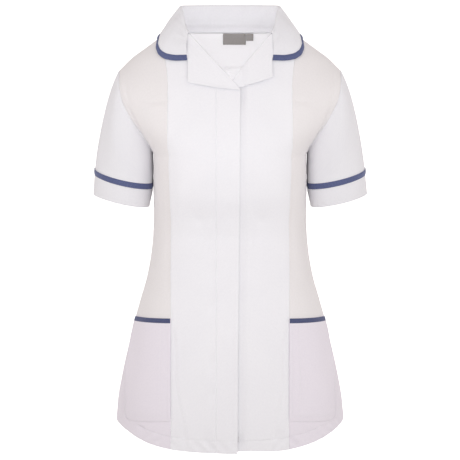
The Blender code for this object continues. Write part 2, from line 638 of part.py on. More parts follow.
def collar():
    """Collar: stand up from the neck seam, a round roll, and the fall down to its braid."""
    place = np.concatenate([np.linspace(-1, 0, 9), np.linspace(0, 1, 10)[1:]])
    gorge_turn = float(turn_at(GORGE[0] + 0.0022, GORGE[1], -1))
    neck_turn = np.where(
        place < 0, gorge_turn * np.clip(-place, 0, 1) ** 0.75, -place * math.pi / 2
    )
    neck_z = np.where(
        place < 0, GORGE[1] * np.clip(-place, 0, 1), -0.019 * np.sin(np.abs(neck_turn)) ** 1.6
    )
    base = two_sided(form, neck_turn, neck_z)
    base_normal = two_sided(outward, neck_turn, neck_z)
    top = np.stack([smooth(ROLL[:, 0], ROLL[:, k], place) for k in (1, 2, 3)], axis=-1)
    edge_turn = np.radians(smooth(FALL[:, 0], FALL[:, 1], place))
    edge_z = smooth(FALL[:, 0], FALL[:, 2], place)
    off = smooth(FALL[:, 0], FALL[:, 3], place)[:, None]
    swell = smooth(FALL[:, 0], FALL[:, 4], place)[:, None]
    edge = two_sided(form, edge_turn, edge_z) + two_sided(outward, edge_turn, edge_z) * off
    stand = unit(top - base)
    foot = base - base_normal * COLLAR_WALL + stand * 0.0014
    rise = unit(top - foot)
    path = unit(np.gradient(top, axis=0))
    out = unit(np.cross(path, rise))
    out = out * np.where(np.sum(out[:, :2] * top[:, :2], axis=-1, keepdims=True) < 0, -1, 1)
    radius = (0.0020 + 0.0012 * ease(place, -1.0, -0.5))[:, None]
    hub = top - rise * radius
    profile = [foot, (foot + hub - out * radius) / 2]
    for angle in np.radians([180, 135, 90, 45, 0]):
        profile.append(hub + radius * (math.cos(angle) * out + math.sin(angle) * rise))
    start = profile[-1]
    bulge = unit(out + np.array([0, 0, 0.6])) * swell
    handle = (start + edge) / 2 + 2 * bulge
    length = np.linalg.norm(edge - start, axis=-1, keepdims=True) + swell
    braid_from = 1 - TRIM_WIDTH / length
    for t in (braid_from / 3, braid_from * 2 / 3, braid_from, 1 - 0.5 * TRIM_WIDTH / length, 1 + 0 * length):
        profile.append((1 - t) ** 2 * start + 2 * t * (1 - t) * handle + t * t * edge)
    half = np.stack(profile, axis=1)
    flip = np.array([-1, 1, 1])
    seen = np.concatenate([half, (half * flip)[::-1][1:]], axis=0)
    normal = grid_normals(seen)
    if np.dot(normal[4, -3], seen[4, -3] * [1, 1, 0]) < 0:
        normal = -normal
    wall("collar", seen, seen - normal * COLLAR_WALL, CLOTH)
    strip = seen[:, -3:]
    lift = normal[:, -3:]
    crown = np.array([0.0, 0.0004, 0.0])[None, :, None]
    inner = strip + lift * (LAYER_GAP + 0.0001)
    wall("collar_trim", inner + lift * (TRIM_THICK + crown), inner, BRAID)


def pocket(side, outer, normal):
    """Patch pocket on the side front's own points, with the braid along its mouth."""
    base = outer[23:30, :7]
    lift = normal[23:30, :7]
    under = base + lift * LAYER_GAP
    upper = under + lift * POCKET_THICK
    wall(f"pocket_{side}", upper, under, CLOTH)
    edge = upper[:2] + lift[:2] * LAYER_GAP
    mouth = np.stack([edge[0], (edge[0] + edge[1]) / 2, edge[1]])
    away = np.stack([lift[0], unit(lift[0] + lift[1]), lift[1]])
    crown = np.array([0.0, 0.0004, 0.0])[:, None, None]
    wall(f"pocket_trim_{side}", mouth + away * (TRIM_THICK + crown), mouth, BRAID)


def on_rows(points, normals, x):
    """Points and normals where each row of a panel crosses the given x values."""
    rows = []
    lifts = []
    for line, lift in zip(points, normals):
        order = np.argsort(line[:, 0])
        at = [np.interp(x, line[order, 0], line[order, k]) for k in range(3)]
        up = [np.interp(x, line[order, 0], lift[order, k]) for k in range(3)]
        rows.append(np.stack(at, axis=-1))
        lifts.append(np.stack(up, axis=-1))
    return np.array(rows), unit(np.array(lifts))


CHAIN_DEPTH = 0.0078
CHAIN_HALF = (0.0025, 0.0012)
SLIDER_START = 0.0050
SLIDER_LENGTH = 0.0110


def strip_under(name, points, normals, x, depth, thick, look):
    """Strip behind a panel: its points moved in by a depth for each x."""
    at, lift = on_rows(points, normals, x)
    outer = at - lift * depth[..., None]
    wall(name, outer, outer - lift * thick, look)


def zip_parts(points, normals):
    """Underlay, tapes, chain, slider and pull, all behind the fly."""
    rows, lifts = points[9:].copy(), normals[9:].copy()
    levels = rows[:, -1, 2]
    x = np.array([-0.0250, -0.0150, -0.0056])
    depth = np.full((len(rows), 3), WALL + LAYER_GAP)
    strip_under("fly_underlay", rows, lifts, x, depth, 0.0013, CLOTH)
    sewn = WALL + 2 * LAYER_GAP + 0.0013
    x = np.array([-0.0160, -0.0110, -0.0056, -0.0029])
    level_depth = CHAIN_DEPTH - 0.0005
    depth = np.array([sewn, sewn + 0.0006, level_depth, level_depth])
    strip_under("zip_tape_right", rows, lifts, x, np.tile(depth, (len(rows), 1)), 0.0010, TAPE)
    x = np.array([0.0029, 0.0056, 0.0110, 0.0165])
    deep = 0.0021 + 0.0023 * ease(levels, -0.160, -0.124) + WALL + LAYER_GAP
    depth = np.stack([
        np.full(len(rows), level_depth), np.full(len(rows), level_depth),
        np.maximum(deep + 0.0006, 0.0), deep,
    ], axis=1)
    strip_under("zip_tape_left", rows, lifts, x, depth, 0.0010, TAPE)
    at, lift = on_rows(rows, lifts, np.array([0.0]))
    line = at[:, 0] - lift[:, 0] * CHAIN_DEPTH
    line[:, 0] = 0.0
    down = unit(line[1] - line[0])
    out = unit(np.array([0.0, -1.0, 0.0]) - down * np.dot([0.0, -1.0, 0.0], down))
    line[0] = line[0] + down * (SLIDER_START + 0.0036)
    facing = lift[:, 0] * [0, 1, 1]
    facing[0] = out
    facing = unit(facing)
    corners = [(1, 1), (-1, 1), (-1, -1), (1, -1)]
    tube = [
        line + np.array([cx * CHAIN_HALF[0], 0, 0]) + facing * cn * CHAIN_HALF[1] for cx, cn in corners
    ]
    tube = np.stack(tube, axis=0)
    count = tube.shape[1]
    chain_points = tube.reshape(-1, 3)
    faces = []
    for i in range(4):
        k = (i + 1) % 4
        for j in range(count - 1):
            faces.append((i * count + j, k * count + j, k * count + j + 1, i * count + j + 1))
    faces.append(tuple(i * count for i in (3, 2, 1, 0)))
    faces.append(tuple(i * count + count - 1 for i in range(4)))
    solid("zip_chain", chain_points, faces, TEETH)
    start = at[0, 0] - lift[0, 0] * CHAIN_DEPTH
    start[0] = 0.0
    origin = start + down * SLIDER_START
    slider(origin, down, out)
    return pull(origin, down, out)


def extruded(name, outline, half, origin, down, out, look):
    """Side outline, in mm along the zip and outward, drawn across x."""
    outline = np.asarray(outline, float) * 0.001
    side = origin + outline[:, :1] * down + outline[:, 1:] * out
    across = np.array([half, 0, 0])
    points = np.concatenate([side - across, side + across])
    count = len(outline)
    faces = [tuple(range(count)), tuple(range(2 * count - 1, count - 1, -1))]
    for i in range(count):
        k = (i + 1) % count
        faces.append((i, i + count, k + count, k))
    return solid(name, points, faces, look)


def joined(base, parts):
    """Exact union of a body with others, which are then removed."""
    for part in parts:
        step = base.modifiers.new("union", "BOOLEAN")
        step.operation = "UNION"
        step.solver = "EXACT"
        step.object = part
        graph = bpy.context.evaluated_depsgraph_get()
        made = bpy.data.meshes.new_from_object(base.evaluated_get(graph))
        base.modifiers.clear()
        base.data = made
        bpy.data.objects.remove(part, do_unlink=True)


def slider(origin, down, out):
    """Slider: two plates held apart by a block at the top, and the bail over the front plate."""
    rear = [(0.0, -2.4), (11.0, -2.4), (11.0, -1.55), (0.0, -1.55)]
    front = [(0.0, 1.55), (11.0, 1.55), (11.0, 2.4), (0.0, 2.4)]
    block = [(0.3, -1.7), (3.0, -1.7), (3.0, 1.7), (0.3, 1.7)]
    bail = [(0.8, 2.2), (7.4, 2.2), (7.4, 3.9), (6.6, 4.5), (1.6, 4.5), (0.8, 3.9)]
    window = [(2.0, 2.0), (6.2, 2.0), (6.2, 3.85), (2.0, 3.85)]
    base = extruded("zip_slider", rear, 0.0043, origin, down, out, METAL)
    plate = extruded("front_plate", front, 0.0043, origin, down, out, METAL)
    middle = extruded("block", block, 0.0022, origin, down, out, METAL)
    arch = extruded("bail", bail, 0.0008, origin, down, out, METAL)
    hole = extruded("bail_window", window, 0.0020, origin, down, out, METAL)
    cut = arch.modifiers.new("cut", "BOOLEAN")
    cut.operation = "DIFFERENCE"
    cut.solver = "EXACT"
    cut.object = hole
    graph = bpy.context.evaluated_depsgraph_get()
    made = bpy.data.meshes.new_from_object(arch.evaluated_get(graph))
    arch.modifiers.clear()
    arch.data = made
    bpy.data.objects.remove(hole, do_unlink=True)
    joined(base, [middle, plate, arch])


def pull(origin, down, out):
    """Pull tab: an eye round the bail and a flat blade with rounded end."""
    outline = [(2.5, 2.7), (21.0, 2.7), (21.0, 3.5), (2.5, 3.5)]
    half = 0.0032
    tab = extruded("zip_pull", outline, half, origin, down, out, METAL)
    hole = [(3.4, 2.0), (8.8, 2.0), (8.8, 4.5), (3.4, 4.5)]
    eye = extruded("eye", hole, 0.0015, origin, down, out, METAL)
    cut = tab.modifiers.new("cut", "BOOLEAN")
    cut.operation = "DIFFERENCE"
    cut.solver = "EXACT"
    cut.object = eye
    graph = bpy.context.evaluated_depsgraph_get()
    made = bpy.data.meshes.new_from_object(tab.evaluated_get(graph))
    tab.modifiers.clear()
    tab.data = made
    bpy.data.objects.remove(eye, do_unlink=True)
    return origin + down * 0.0030 + out * 0.0031


def label(name, x0, x1, z0, z1):
    """Bare label hanging inside the yoke from the neck seam."""
    x = np.linspace(x0, x1, 4)[:, None]
    z = np.linspace(z0, z1, 3)[None, :] + 0 * x
    turn = turn_at(x + 0 * z, z, 1)
    base = form(turn, z, 1)
    normal = outward(turn, z, 1)
    outer = base - normal * (WALL + 0.0007)
    wall(name, outer, outer - normal * 0.0010, LABEL)


right = front_centre("front_right_centre", -1, True)
front_centre("front_left_centre", 1, False)
for side, mirror in (("right", -1), ("left", 1)):
    panel, panel_normal = front_side(f"front_{side}_side", mirror)
    pocket(side, panel, panel_normal)
    sleeve(side, mirror)
back_yoke()
back()
collar()
lapel("lapel_right", -1, True)
lapel("lapel_left", 1, False)
hinge = zip_parts(right[0], right[1])
label("label_main", -0.0127, 0.0290, -0.0208, -0.0396)
label("label_size", 0.0302, 0.0430, -0.0205, -0.0323)
print("hinge", np.round(hinge, 6).tolist())
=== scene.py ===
# %% [markdown]
# Zip-front tunic: a fitted work tunic in white polyester and cotton twill, with a revere collar,
# a concealed zip, short sleeves and navy braid. The frame holds its plain solids. This file dresses
# them with fine cloth: each panel is a surface worked out from the torso's own formula.
# %% Frame and libraries
import math

import bpy
import numpy as np
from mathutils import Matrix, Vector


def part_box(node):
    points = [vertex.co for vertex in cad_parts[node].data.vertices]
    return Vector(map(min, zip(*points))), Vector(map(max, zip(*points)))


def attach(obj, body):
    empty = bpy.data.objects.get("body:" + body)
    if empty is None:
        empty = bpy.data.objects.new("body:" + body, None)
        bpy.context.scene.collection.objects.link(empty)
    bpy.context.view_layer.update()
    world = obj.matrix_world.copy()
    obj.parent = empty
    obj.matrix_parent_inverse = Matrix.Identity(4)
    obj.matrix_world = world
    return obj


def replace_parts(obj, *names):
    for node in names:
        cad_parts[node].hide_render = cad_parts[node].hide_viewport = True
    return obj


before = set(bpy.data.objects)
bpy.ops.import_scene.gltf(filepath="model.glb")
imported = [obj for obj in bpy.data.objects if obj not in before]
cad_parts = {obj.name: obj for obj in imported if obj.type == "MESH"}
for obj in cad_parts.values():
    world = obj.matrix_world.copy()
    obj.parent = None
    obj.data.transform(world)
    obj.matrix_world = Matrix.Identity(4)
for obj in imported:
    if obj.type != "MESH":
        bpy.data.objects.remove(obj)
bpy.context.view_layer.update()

# %% [markdown]
# The torso is filled out as if worn. Each level is a superellipse, which is an oval whose corners
# can be squarer or rounder, and the tables below say how wide and deep it is from the neck to the hem.
# A smooth curve runs through each table, so one function gives any point of the cloth.
# %% Tables of the torso
# metres from the middle: the fly's edge at the chest and at the hem, and the under front's edge
FLY_EDGE = 0.0180
FLY_EDGE_HEM = 0.0135
UNDER_EDGE = 0.0062
# x and z where collar and lapel meet on the neck seam, and how far outside it the seam itself lies
GORGE = (0.0726, -0.021)
GORGE_OUT = 0.0022
# where the roll line ends on the fly and (x, z) on the under front, and where that one's edge is straight
BREAK_POINT_Z = -0.1196
UNDER_BREAK = (-0.001, -0.1082)
UNDER_STRAIGHT_Z = -0.120
# seen from the side the armhole is an ellipse: its top, its foot and half its depth
TIP_Z = -0.085
ARMPIT_Z = -0.235
ARM_MIDDLE_Z = (TIP_Z + ARMPIT_Z) / 2
ARM_HALF_Z = (TIP_Z - ARMPIT_Z) / 2
ARMHOLE_DEPTH = 0.060
# angle of the shoulder seam's two edges from the side line
SHOULDER_TURN = 0.003
PRINCESS_TOP_Z = -0.0235
YOKE_SEAM_Z = -0.084
YOKE_SIDE_Z = -0.117
# half the gap between two panels, and the share of it that the fine panels leave open
HALF_GAP = 0.00018
OPEN_SHARE = 0.6
# the solids' wall, and the gap between two layers of cloth
WALL = 0.0015
LAYER_GAP = 0.0004

# z, half width, front depth, back depth, squareness
LEVELS = np.array([
    (-0.780, 0.2160, 0.1440, 0.1360, 2.45),
    (-0.7245, 0.2087, 0.1415, 0.1330, 2.45),
    (-0.6815, 0.2048, 0.1380, 0.1300, 2.45),
    (-0.6480, 0.1990, 0.1350, 0.1280, 2.45),
    (-0.6145, 0.1920, 0.1315, 0.1260, 2.45),
    (-0.5923, 0.1868, 0.1290, 0.1245, 2.45),
    (-0.5367, 0.1731, 0.1220, 0.1180, 2.45),
    (-0.4925, 0.1606, 0.1155, 0.1080, 2.45),
    (-0.4593, 0.1510, 0.1120, 0.0980, 2.45),
    (-0.4153, 0.1429, 0.1085, 0.0850, 2.45),
    (-0.3823, 0.1395, 0.1085, 0.0805, 2.45),
    (-0.3494, 0.1381, 0.1140, 0.0815, 2.50),
    (-0.3000, 0.1385, 0.1290, 0.0920, 2.65),
    (-0.2500, 0.1378, 0.1350, 0.1030, 2.75),
    (-0.2350, 0.1376, 0.1345, 0.1045, 2.75),
    (-0.2050, 0.1376, 0.1290, 0.1045, 2.65),
    (-0.1600, 0.1376, 0.1110, 0.1000, 2.40),
    (-0.1200, 0.1376, 0.0930, 0.0930, 2.30),
    (-0.0850, 0.1980, 0.0785, 0.0830, 2.15),
    (-0.0625, 0.1750, 0.0700, 0.0760, 2.05),
    (-0.0494, 0.1570, 0.0650, 0.0720, 2.00),
    (-0.0333, 0.1348, 0.0600, 0.0675, 2.00),
    (-0.0150, 0.1100, 0.0565, 0.0625, 2.00),
    (0.0000, 0.0900, 0.0545, 0.0600, 2.00),
])
BELOW_ARM = LEVELS[LEVELS[:, 0] <= ARMPIT_Z]
ABOVE_ARM = LEVELS[LEVELS[:, 0] >= TIP_Z]
# z and half width of the armhole seam
ARMHOLE = np.array([
    (-0.2350, 0.1376), (-0.2250, 0.1415), (-0.2092, 0.1510), (-0.1820, 0.1695),
    (-0.1605, 0.1815), (-0.1376, 0.1915), (-0.1114, 0.1970), (-0.0850, 0.1980),
])
# degrees from the side seam, hem height
HEM = np.array([
    (0.0, -0.7185), (15.0, -0.7203), (25.0, -0.7242), (36.0, -0.7300), (44.0, -0.7368),
    (52.0, -0.7442), (58.0, -0.7487), (64.0, -0.7520), (76.0, -0.7548), (90.0, -0.7566),
])

# %% Curves through tables


def smooth(table_x, table_y, x):
    """Monotone cubic through a table: Hermite pieces with harmonic-mean slopes."""
    table_x = np.asarray(table_x, float)
    table_y = np.asarray(table_y, float)
    x = np.clip(np.asarray(x, float), table_x[0], table_x[-1])
    step = np.diff(table_x)
    slope = np.diff(table_y) / step
    before, after = slope[:-1], slope[1:]
    w1 = 2 * step[1:] + step[:-1]
    w2 = step[1:] + 2 * step[:-1]
    same = before * after > 0
    safe_before = np.where(same, before, 1.0)
    safe_after = np.where(same, after, 1.0)
    inner = np.where(same, (w1 + w2) / (w1 / safe_before + w2 / safe_after), 0.0)
    rate = np.concatenate([[slope[0]], inner, [slope[-1]]])
    i = np.clip(np.searchsorted(table_x, x, side="right") - 1, 0, len(step) - 1)
    t = (x - table_x[i]) / step[i]
    return (
        (1 + 2 * t) * (1 - t) ** 2 * table_y[i] + t * (1 - t) ** 2 * step[i] * rate[i]
        + t * t * (3 - 2 * t) * table_y[i + 1] + t * t * (t - 1) * step[i] * rate[i + 1]
    )


def look_up(table, column, place):
    """Value of one column of a table, at places of its first column."""
    return smooth(table[:, 0], table[:, column], place)


def ease(x, start, end):
    """0 at start, 1 at end, with level ends."""
    t = np.clip((np.asarray(x, float) - start) / (end - start), 0, 1)
    return t * t * (3 - 2 * t)


def bell(x, width):
    """Soft bump: e to the minus (x / width) squared."""
    return np.exp(-((x / width) ** 2))


def crowded(count, share=0.6):
    """Numbers from 0 to 1, closer together near both ends by the share that a cosine has in them."""
    even = np.linspace(0, 1, count)
    return (1 - share) * even + share * (1 - np.cos(math.pi * even)) / 2


def nearest(values, goal):
    """Place in a row of the value nearest to a goal."""
    return int(np.argmin(np.abs(values - goal)))


def unit(vector):
    """Vectors of length 1 in the same directions."""
    return vector / np.maximum(np.linalg.norm(vector, axis=-1, keepdims=True), 1e-12)


# %% [markdown]
# Cloth that hangs from the shoulders and is taken in at the waist is never quite smooth. Its folds
# are listed one by one, each a soft trough or ridge in direction and height, uneven, and on the back too.
# The broad ones are also in the solids. The small ones are added here.
# %% Folds
# direction in degrees from +X, lean per metre, z, length, width in degrees, outward height
FOLDS = (
    (-118.0, 40.0, -0.352, 0.030, 9.0, -0.0028),
    (-62.0, -40.0, -0.352, 0.030, 9.0, -0.0028),
    (-140.0, 20.0, -0.690, 0.110, 10.0, 0.0034),
    (-35.0, -14.0, -0.680, 0.120, 11.0, 0.0030),
    (-161.0, 10.0, -0.660, 0.110, 8.0, -0.0030),
    (-17.0, 8.0, -0.670, 0.100, 8.0, -0.0026),
    (62.0, 10.0, -0.640, 0.140, 12.0, 0.0040),
    (118.0, -16.0, -0.620, 0.150, 13.0, 0.0036),
    (92.0, 4.0, -0.660, 0.110, 9.0, -0.0030),
    (70.0, 60.0, -0.345, 0.035, 14.0, -0.0034),
    (112.0, -50.0, -0.360, 0.035, 13.0, -0.0030),
)
SMALL_FOLDS = (
    (-117.0, 20.0, -0.348, 0.009, 3.6, -0.0014),
    (-62.5, -20.0, -0.348, 0.009, 3.6, -0.0014),
    (-110.0, 90.0, -0.392, 0.022, 2.6, -0.0009),
    (-69.0, -90.0, -0.392, 0.022, 2.6, -0.0009),
    (-128.0, 90.0, -0.300, 0.036, 5.0, 0.0009),
    (-141.0, 120.0, -0.262, 0.030, 5.5, -0.0010),
    (-50.0, -100.0, -0.296, 0.034, 5.0, 0.0009),
    (-40.0, -120.0, -0.264, 0.030, 5.0, -0.0009),
    (-150.0, 160.0, -0.395, 0.034, 5.0, 0.0012),
    (-146.0, 190.0, -0.368, 0.026, 4.0, -0.0012),
    (-31.0, -150.0, -0.398, 0.036, 5.0, 0.0011),
    (-35.0, -180.0, -0.370, 0.026, 4.0, -0.0012),
    (-112.0, 8.0, -0.450, 0.060, 4.5, 0.0007),
    (-106.0, 6.0, -0.560, 0.080, 4.0, -0.0007),
    (-122.0, 10.0, -0.600, 0.100, 5.0, 0.0009),
    (-66.0, -8.0, -0.455, 0.060, 4.0, 0.0007),
    (-57.0, -10.0, -0.610, 0.100, 5.0, 0.0009),
    (-72.0, -4.0, -0.680, 0.070, 4.0, -0.0008),
    (-113.0, 4.0, -0.700, 0.060, 4.0, -0.0009),
    (-168.0, 30.0, -0.540, 0.060, 5.0, 0.0013),
    (-12.0, -26.0, -0.545, 0.060, 5.0, 0.0013),
    (-134.0, -150.0, -0.205, 0.026, 5.0, 0.0008),
    (-46.0, 150.0, -0.205, 0.026, 5.0, 0.0008),
    (-104.0, 30.0, -0.165, 0.030, 6.0, -0.0006),
    (-75.0, -20.0, -0.168, 0.030, 6.0, -0.0005),
    (48.0, 120.0, -0.330, 0.030, 6.0, 0.0018),
    (84.0, 90.0, -0.385, 0.024, 9.0, 0.0017),
    (98.0, -80.0, -0.322, 0.022, 10.0, -0.0016),
    (129.0, -130.0, -0.335, 0.030, 6.0, 0.0018),
    (60.0, 60.0, -0.410, 0.030, 8.0, -0.0014),
    (121.0, -70.0, -0.412, 0.028, 8.0, 0.0015),
    (40.0, 60.0, -0.230, 0.050, 6.0, 0.0014),
    (141.0, -50.0, -0.225, 0.050, 6.0, 0.0013),
    (76.0, 6.0, -0.560, 0.100, 6.0, 0.0016),
    (104.0, -8.0, -0.585, 0.110, 6.0, 0.0014),
    (48.0, 8.0, -0.680, 0.080, 6.0, -0.0016),
    (134.0, -10.0, -0.670, 0.090, 6.0, -0.0016),
    (90.0, 20.0, -0.190, 0.060, 5.0, 0.0008),
    (22.0, 30.0, -0.500, 0.070, 6.0, 0.0012),
    (160.0, -24.0, -0.490, 0.070, 6.0, 0.0012),
)


def folds(x, y, z):
    """Sum of the folds: height times a bell in direction times a bell in level."""
    turn = np.degrees(np.arctan2(y, x))
    total = np.zeros(np.shape(turn))
    for toward, lean, level, length, width, height in FOLDS + SMALL_FOLDS:
        off = (turn - toward - lean * (z - level) + 180) % 360 - 180
        total += height * bell(off, width) * bell(z - level, length)
    return total

# %% The torso's surface


def section(z, side):
    """Half width, depth and squareness of the torso's level z; side -1 is the front."""
    z = np.asarray(z, float)
    up = np.clip((z - ARM_MIDDLE_Z) / ARM_HALF_Z, -1, 1)
    arm_y = ARMHOLE_DEPTH * np.sqrt(1 - up ** 2)
    depth = look_up(LEVELS, 2 if side < 0 else 3, z)
    square = look_up(LEVELS, 4, z)
    low = look_up(BELOW_ARM, 1, z)
    high = look_up(ABOVE_ARM, 1, z)
    arm = look_up(ARMHOLE, 1, z) / (1 - (arm_y / depth) ** square) ** (1 / square)
    wide = np.where(z < ARMPIT_Z, low, np.where(z > TIP_Z, high, arm))
    return wide, depth, square


def form(turn, z, side, mirror=1):
    """Point of the torso: x = a c/q, y = side d s/q, q = (|c|^n + |s|^n)^(1/n), then the folds."""
    turn, z = np.broadcast_arrays(np.asarray(turn, float), np.asarray(z, float))
    wide, depth, square = section(z, side)
    c, s = np.cos(turn), np.sin(turn)
    q = (np.abs(c) ** square + np.abs(s) ** square) ** (1 / square)
    x = wide * c / q * mirror
    y = side * depth * s / q
    grow = 1 + folds(x, y, z) * ease(z, -0.12, -0.20) / np.hypot(x, y)
    return np.stack([x * grow, y * grow, z], axis=-1)


def turn_at(x, z, side):
    """Angle of the surface point that has this x at level z."""
    wide, _, square = section(z, side)
    across = np.clip(np.asarray(x, float) / wide, -0.999999, 0.999999)
    up = (1 - np.abs(across) ** square) ** (1 / square)
    return np.arctan2(up, across)


def outward(turn, z, side, mirror=1):
    """Unit normal of the torso's surface, from central differences."""
    step = 1e-4
    along = form(turn + step, z, side, mirror) - form(turn - step, z, side, mirror)
    high = np.minimum(z + step, 0.0)
    up = form(turn, high, side, mirror) - form(turn, high - 2 * step, side, mirror)
    normal = unit(np.cross(along, up))
    point = form(turn, z, side, mirror)
    facing = np.sum(normal[..., :2] * point[..., :2], axis=-1, keepdims=True)
    return normal * np.where(facing < 0, -1, 1)

# %% Seams on the surface


def surface(turn, z, side, mirror=1):
    """Points of the torso and their normals."""
    return form(turn, z, side, mirror), outward(turn, z, side, mirror)


def armhole_turn(z, side):
    """Angle of the armhole's seam."""
    return turn_at(look_up(ARMHOLE, 1, z), z, side)


def turn_gap(turn, z, side):
    """Angle that spans half a seam gap on the surface."""
    step = 1e-3
    reach = np.linalg.norm(form(turn + step, z, side) - form(turn - step, z, side), axis=-1)
    return HALF_GAP * 2 * step / reach


print("waist", np.round(2 * section(-0.3494, -1)[0], 4), "m wide")

# %% [markdown]
# A cloth piece is a thin closed shell. The outer face is a grid of points, the inner face is the same
# grid moved in, and a rounded lip joins their edges. The lip matters: a knife edge would catch no
# light, while the turned edge of real cloth shows as a fine bright line.
# %% From grids to meshes
CLOTH_THICK = 0.0009


def cells(number, closed=False):
    """Four corners of every cell of a grid of point numbers."""
    if closed:
        number = np.concatenate([number, number[:1]])
    corners = [number[:-1, :-1], number[1:, :-1], number[1:, 1:], number[:-1, 1:]]
    return np.stack(corners, axis=-1).reshape(-1, 4)


def strip(first, second, closed=True):
    """Quads between two lines of point numbers that run side by side."""
    if closed:
        first, second = np.append(first, first[0]), np.append(second, second[0])
    return np.stack([first[:-1], first[1:], second[1:], second[:-1]], axis=-1)


def put_in_scene(name, points, faces, look):
    """A smooth mesh object with one finish, in the scene."""
    mesh = bpy.data.meshes.new(name)
    mesh.from_pydata(points.reshape(-1, 3).tolist(), [], faces.tolist())
    mesh.materials.append(look)
    mesh.shade_smooth()
    made = bpy.data.objects.new(name, mesh)
    bpy.context.scene.collection.objects.link(made)
    return made


def make_mesh(name, points, faces, look, grain, around):
    """A closed mesh with outward faces, as its volume's sign shows; around is a tube's length round."""
    a, b, c, d = (points[faces[:, k]] for k in range(4))
    volume = np.sum(a * np.cross(b, c)) + np.sum(a * np.cross(c, d))
    if volume < 0:
        faces = faces[:, ::-1]
    corner = grain[faces]
    if around:
        wraps = np.ptp(corner[..., 1], axis=1) > around / 2
        corner[..., 1] += around * (wraps[:, None] & (corner[..., 1] < around / 2))
    made = put_in_scene(name, points, faces, look)
    made.data.uv_layers.new(name="grain").data.foreach_set("uv", corner.ravel())
    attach(made, "tunic")
    return made

# %% Normals and distances on a grid


def grid_normals(grid, closed=False):
    """Unit normals of a grid of points, from its neighbours."""
    if closed:
        down = np.roll(grid, -1, axis=0) - np.roll(grid, 1, axis=0)
    else:
        down = np.gradient(grid, axis=0)
    return unit(np.cross(down, np.gradient(grid, axis=1)))


def grid_normals_out(points, guide, closed=False):
    """A grid's normals, on the same side as the guide's."""
    normal = grid_normals(points, closed)
    return normal * np.where(np.sum(normal * guide, axis=-1, keepdims=True) < 0, -1, 1)


def runs(grid, axis):
    """Distance along one direction of a grid, from its first line and to its last."""
    step = np.linalg.norm(np.diff(grid, axis=axis), axis=-1)
    none = np.zeros_like(np.take(step, [0], axis))
    gone = np.concatenate([none, np.cumsum(step, axis=axis)], axis=axis)
    return gone, np.take(gone, [-1], axis) - gone

# %% A shell of cloth


def shell(name, outer, normal, look, thick=CLOTH_THICK, closed=False, lip=0.00015):
    """Outer grid, inner grid = outer - normal * thick, and a lip round each edge."""
    rows, cols = outer.shape[:2]
    inner = outer - normal * np.broadcast_to(np.asarray(thick, float), (rows, cols))[..., None]
    number = np.arange(rows * cols).reshape(rows, cols)
    if closed:
        loops = [(number[::-1, 0], number[::-1, 1]), (number[:, -1], number[:, -2])]
    else:
        r = np.concatenate([np.zeros(cols - 1, int), np.arange(rows - 1), np.full(cols - 1, rows - 1),
                            np.arange(rows - 1, 0, -1)])
        c = np.concatenate([np.arange(cols - 1), np.full(rows - 1, cols - 1), np.arange(cols - 1, 0, -1),
                            np.zeros(rows - 1, int)])
        loops = [(number[r, c], number[np.clip(r, 1, rows - 2), np.clip(c, 1, cols - 2)])]
    flat_outer, flat_inner = outer.reshape(-1, 3), inner.reshape(-1, 3)
    across, down = runs(outer, 1)[0], runs(outer, 0)[0]
    flat_grain = np.stack([across, down], axis=-1).reshape(-1, 2)
    points, grain = [flat_outer, flat_inner], [flat_grain, flat_grain]
    faces = [cells(number, closed), cells(number + rows * cols, closed)[:, ::-1]]
    start = 2 * rows * cols
    for edge, near in loops:
        middle = (flat_outer[edge] + flat_inner[edge]) / 2 + unit(flat_outer[edge] - flat_outer[near]) * lip
        ids = start + np.arange(len(edge))
        points.append(middle)
        grain.append(flat_grain[edge])
        faces += [strip(edge, ids), strip(ids, edge + rows * cols)]
        start += len(edge)
    around = closed and down[-1].max() + np.linalg.norm(outer[0, 0] - outer[-1, 0])
    return make_mesh(name, np.concatenate(points), np.concatenate(faces), look, np.concatenate(grain), around)


# ending of a piece's name by the part that it plays
ENDINGS = {"cloth": "cloth", "braid": "braid", "tape": "woven", "label": "satin"}


def sew(node, points, normal, look, flat, area, slot="cloth", held="stretched", **walls):
    """A shell that takes its solid's place; the size and area it is cut to (flat, area) are not used."""
    made = shell(f"{node}_{ENDINGS[slot]}", points, normal, look, **walls)
    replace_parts(made, node)
    print(node, len(made.data.polygons), "faces")
    return made


# %% [markdown]
# Sewing leaves its marks in cloth. An edge sinks into its seam, the allowance behind makes a ridge
# beside it, a row of stitches pulls a trough, and the cloth puckers along all of them. Each mark is a
# height that depends on the distance from the line and along it.
# %% Marks of sewing


def pucker(along, seed):
    """Uneven small waves along a seam: three sines whose lengths don't share a multiple."""
    waves = np.sin(along / 0.0027 + seed) + 0.7 * np.sin(along / 0.0043 + 2.3 * seed)
    return (waves + 0.8 * np.sin(along / 0.0079 + 4.1 * seed)) / 2.5


def seam_press(distance, along, seed, ridge=1.0):
    """Edge sunk into the seam, the allowance's ridge beside it, and puckers that fade away."""
    sunk = -0.00030 * bell(distance, 0.0014)
    raised = 0.00022 * ridge * bell(distance - 0.0050, 0.0030)
    return sunk + raised + 0.00022 * pucker(along, seed) * np.exp(-distance / 0.007)


def groove(distance, along, seed, depth=0.00028):
    """A row of stitches pulls the cloth down in a narrow trough, with puckers on both sides."""
    return -depth * bell(distance, 0.0011) + 0.00016 * pucker(along, seed) * np.exp(-np.abs(distance) / 0.006)

# %% Columns and rows


def spread(knots, counts):
    """Columns between lines that run down the cloth, closer together near each line."""
    parts = []
    for k, count in enumerate(counts):
        t = crowded(count + 1)
        t = t if k == len(counts) - 1 else t[:-1]
        parts.append(knots[k][:, None] + (knots[k + 1] - knots[k])[:, None] * t)
    return np.concatenate(parts, axis=1)


def resample(table, place):
    """Fine rows from coarse ones: a smooth curve down each column."""
    index = np.arange(len(table))
    return np.stack([smooth(index, table[:, j], place) for j in range(table.shape[1])], axis=1)


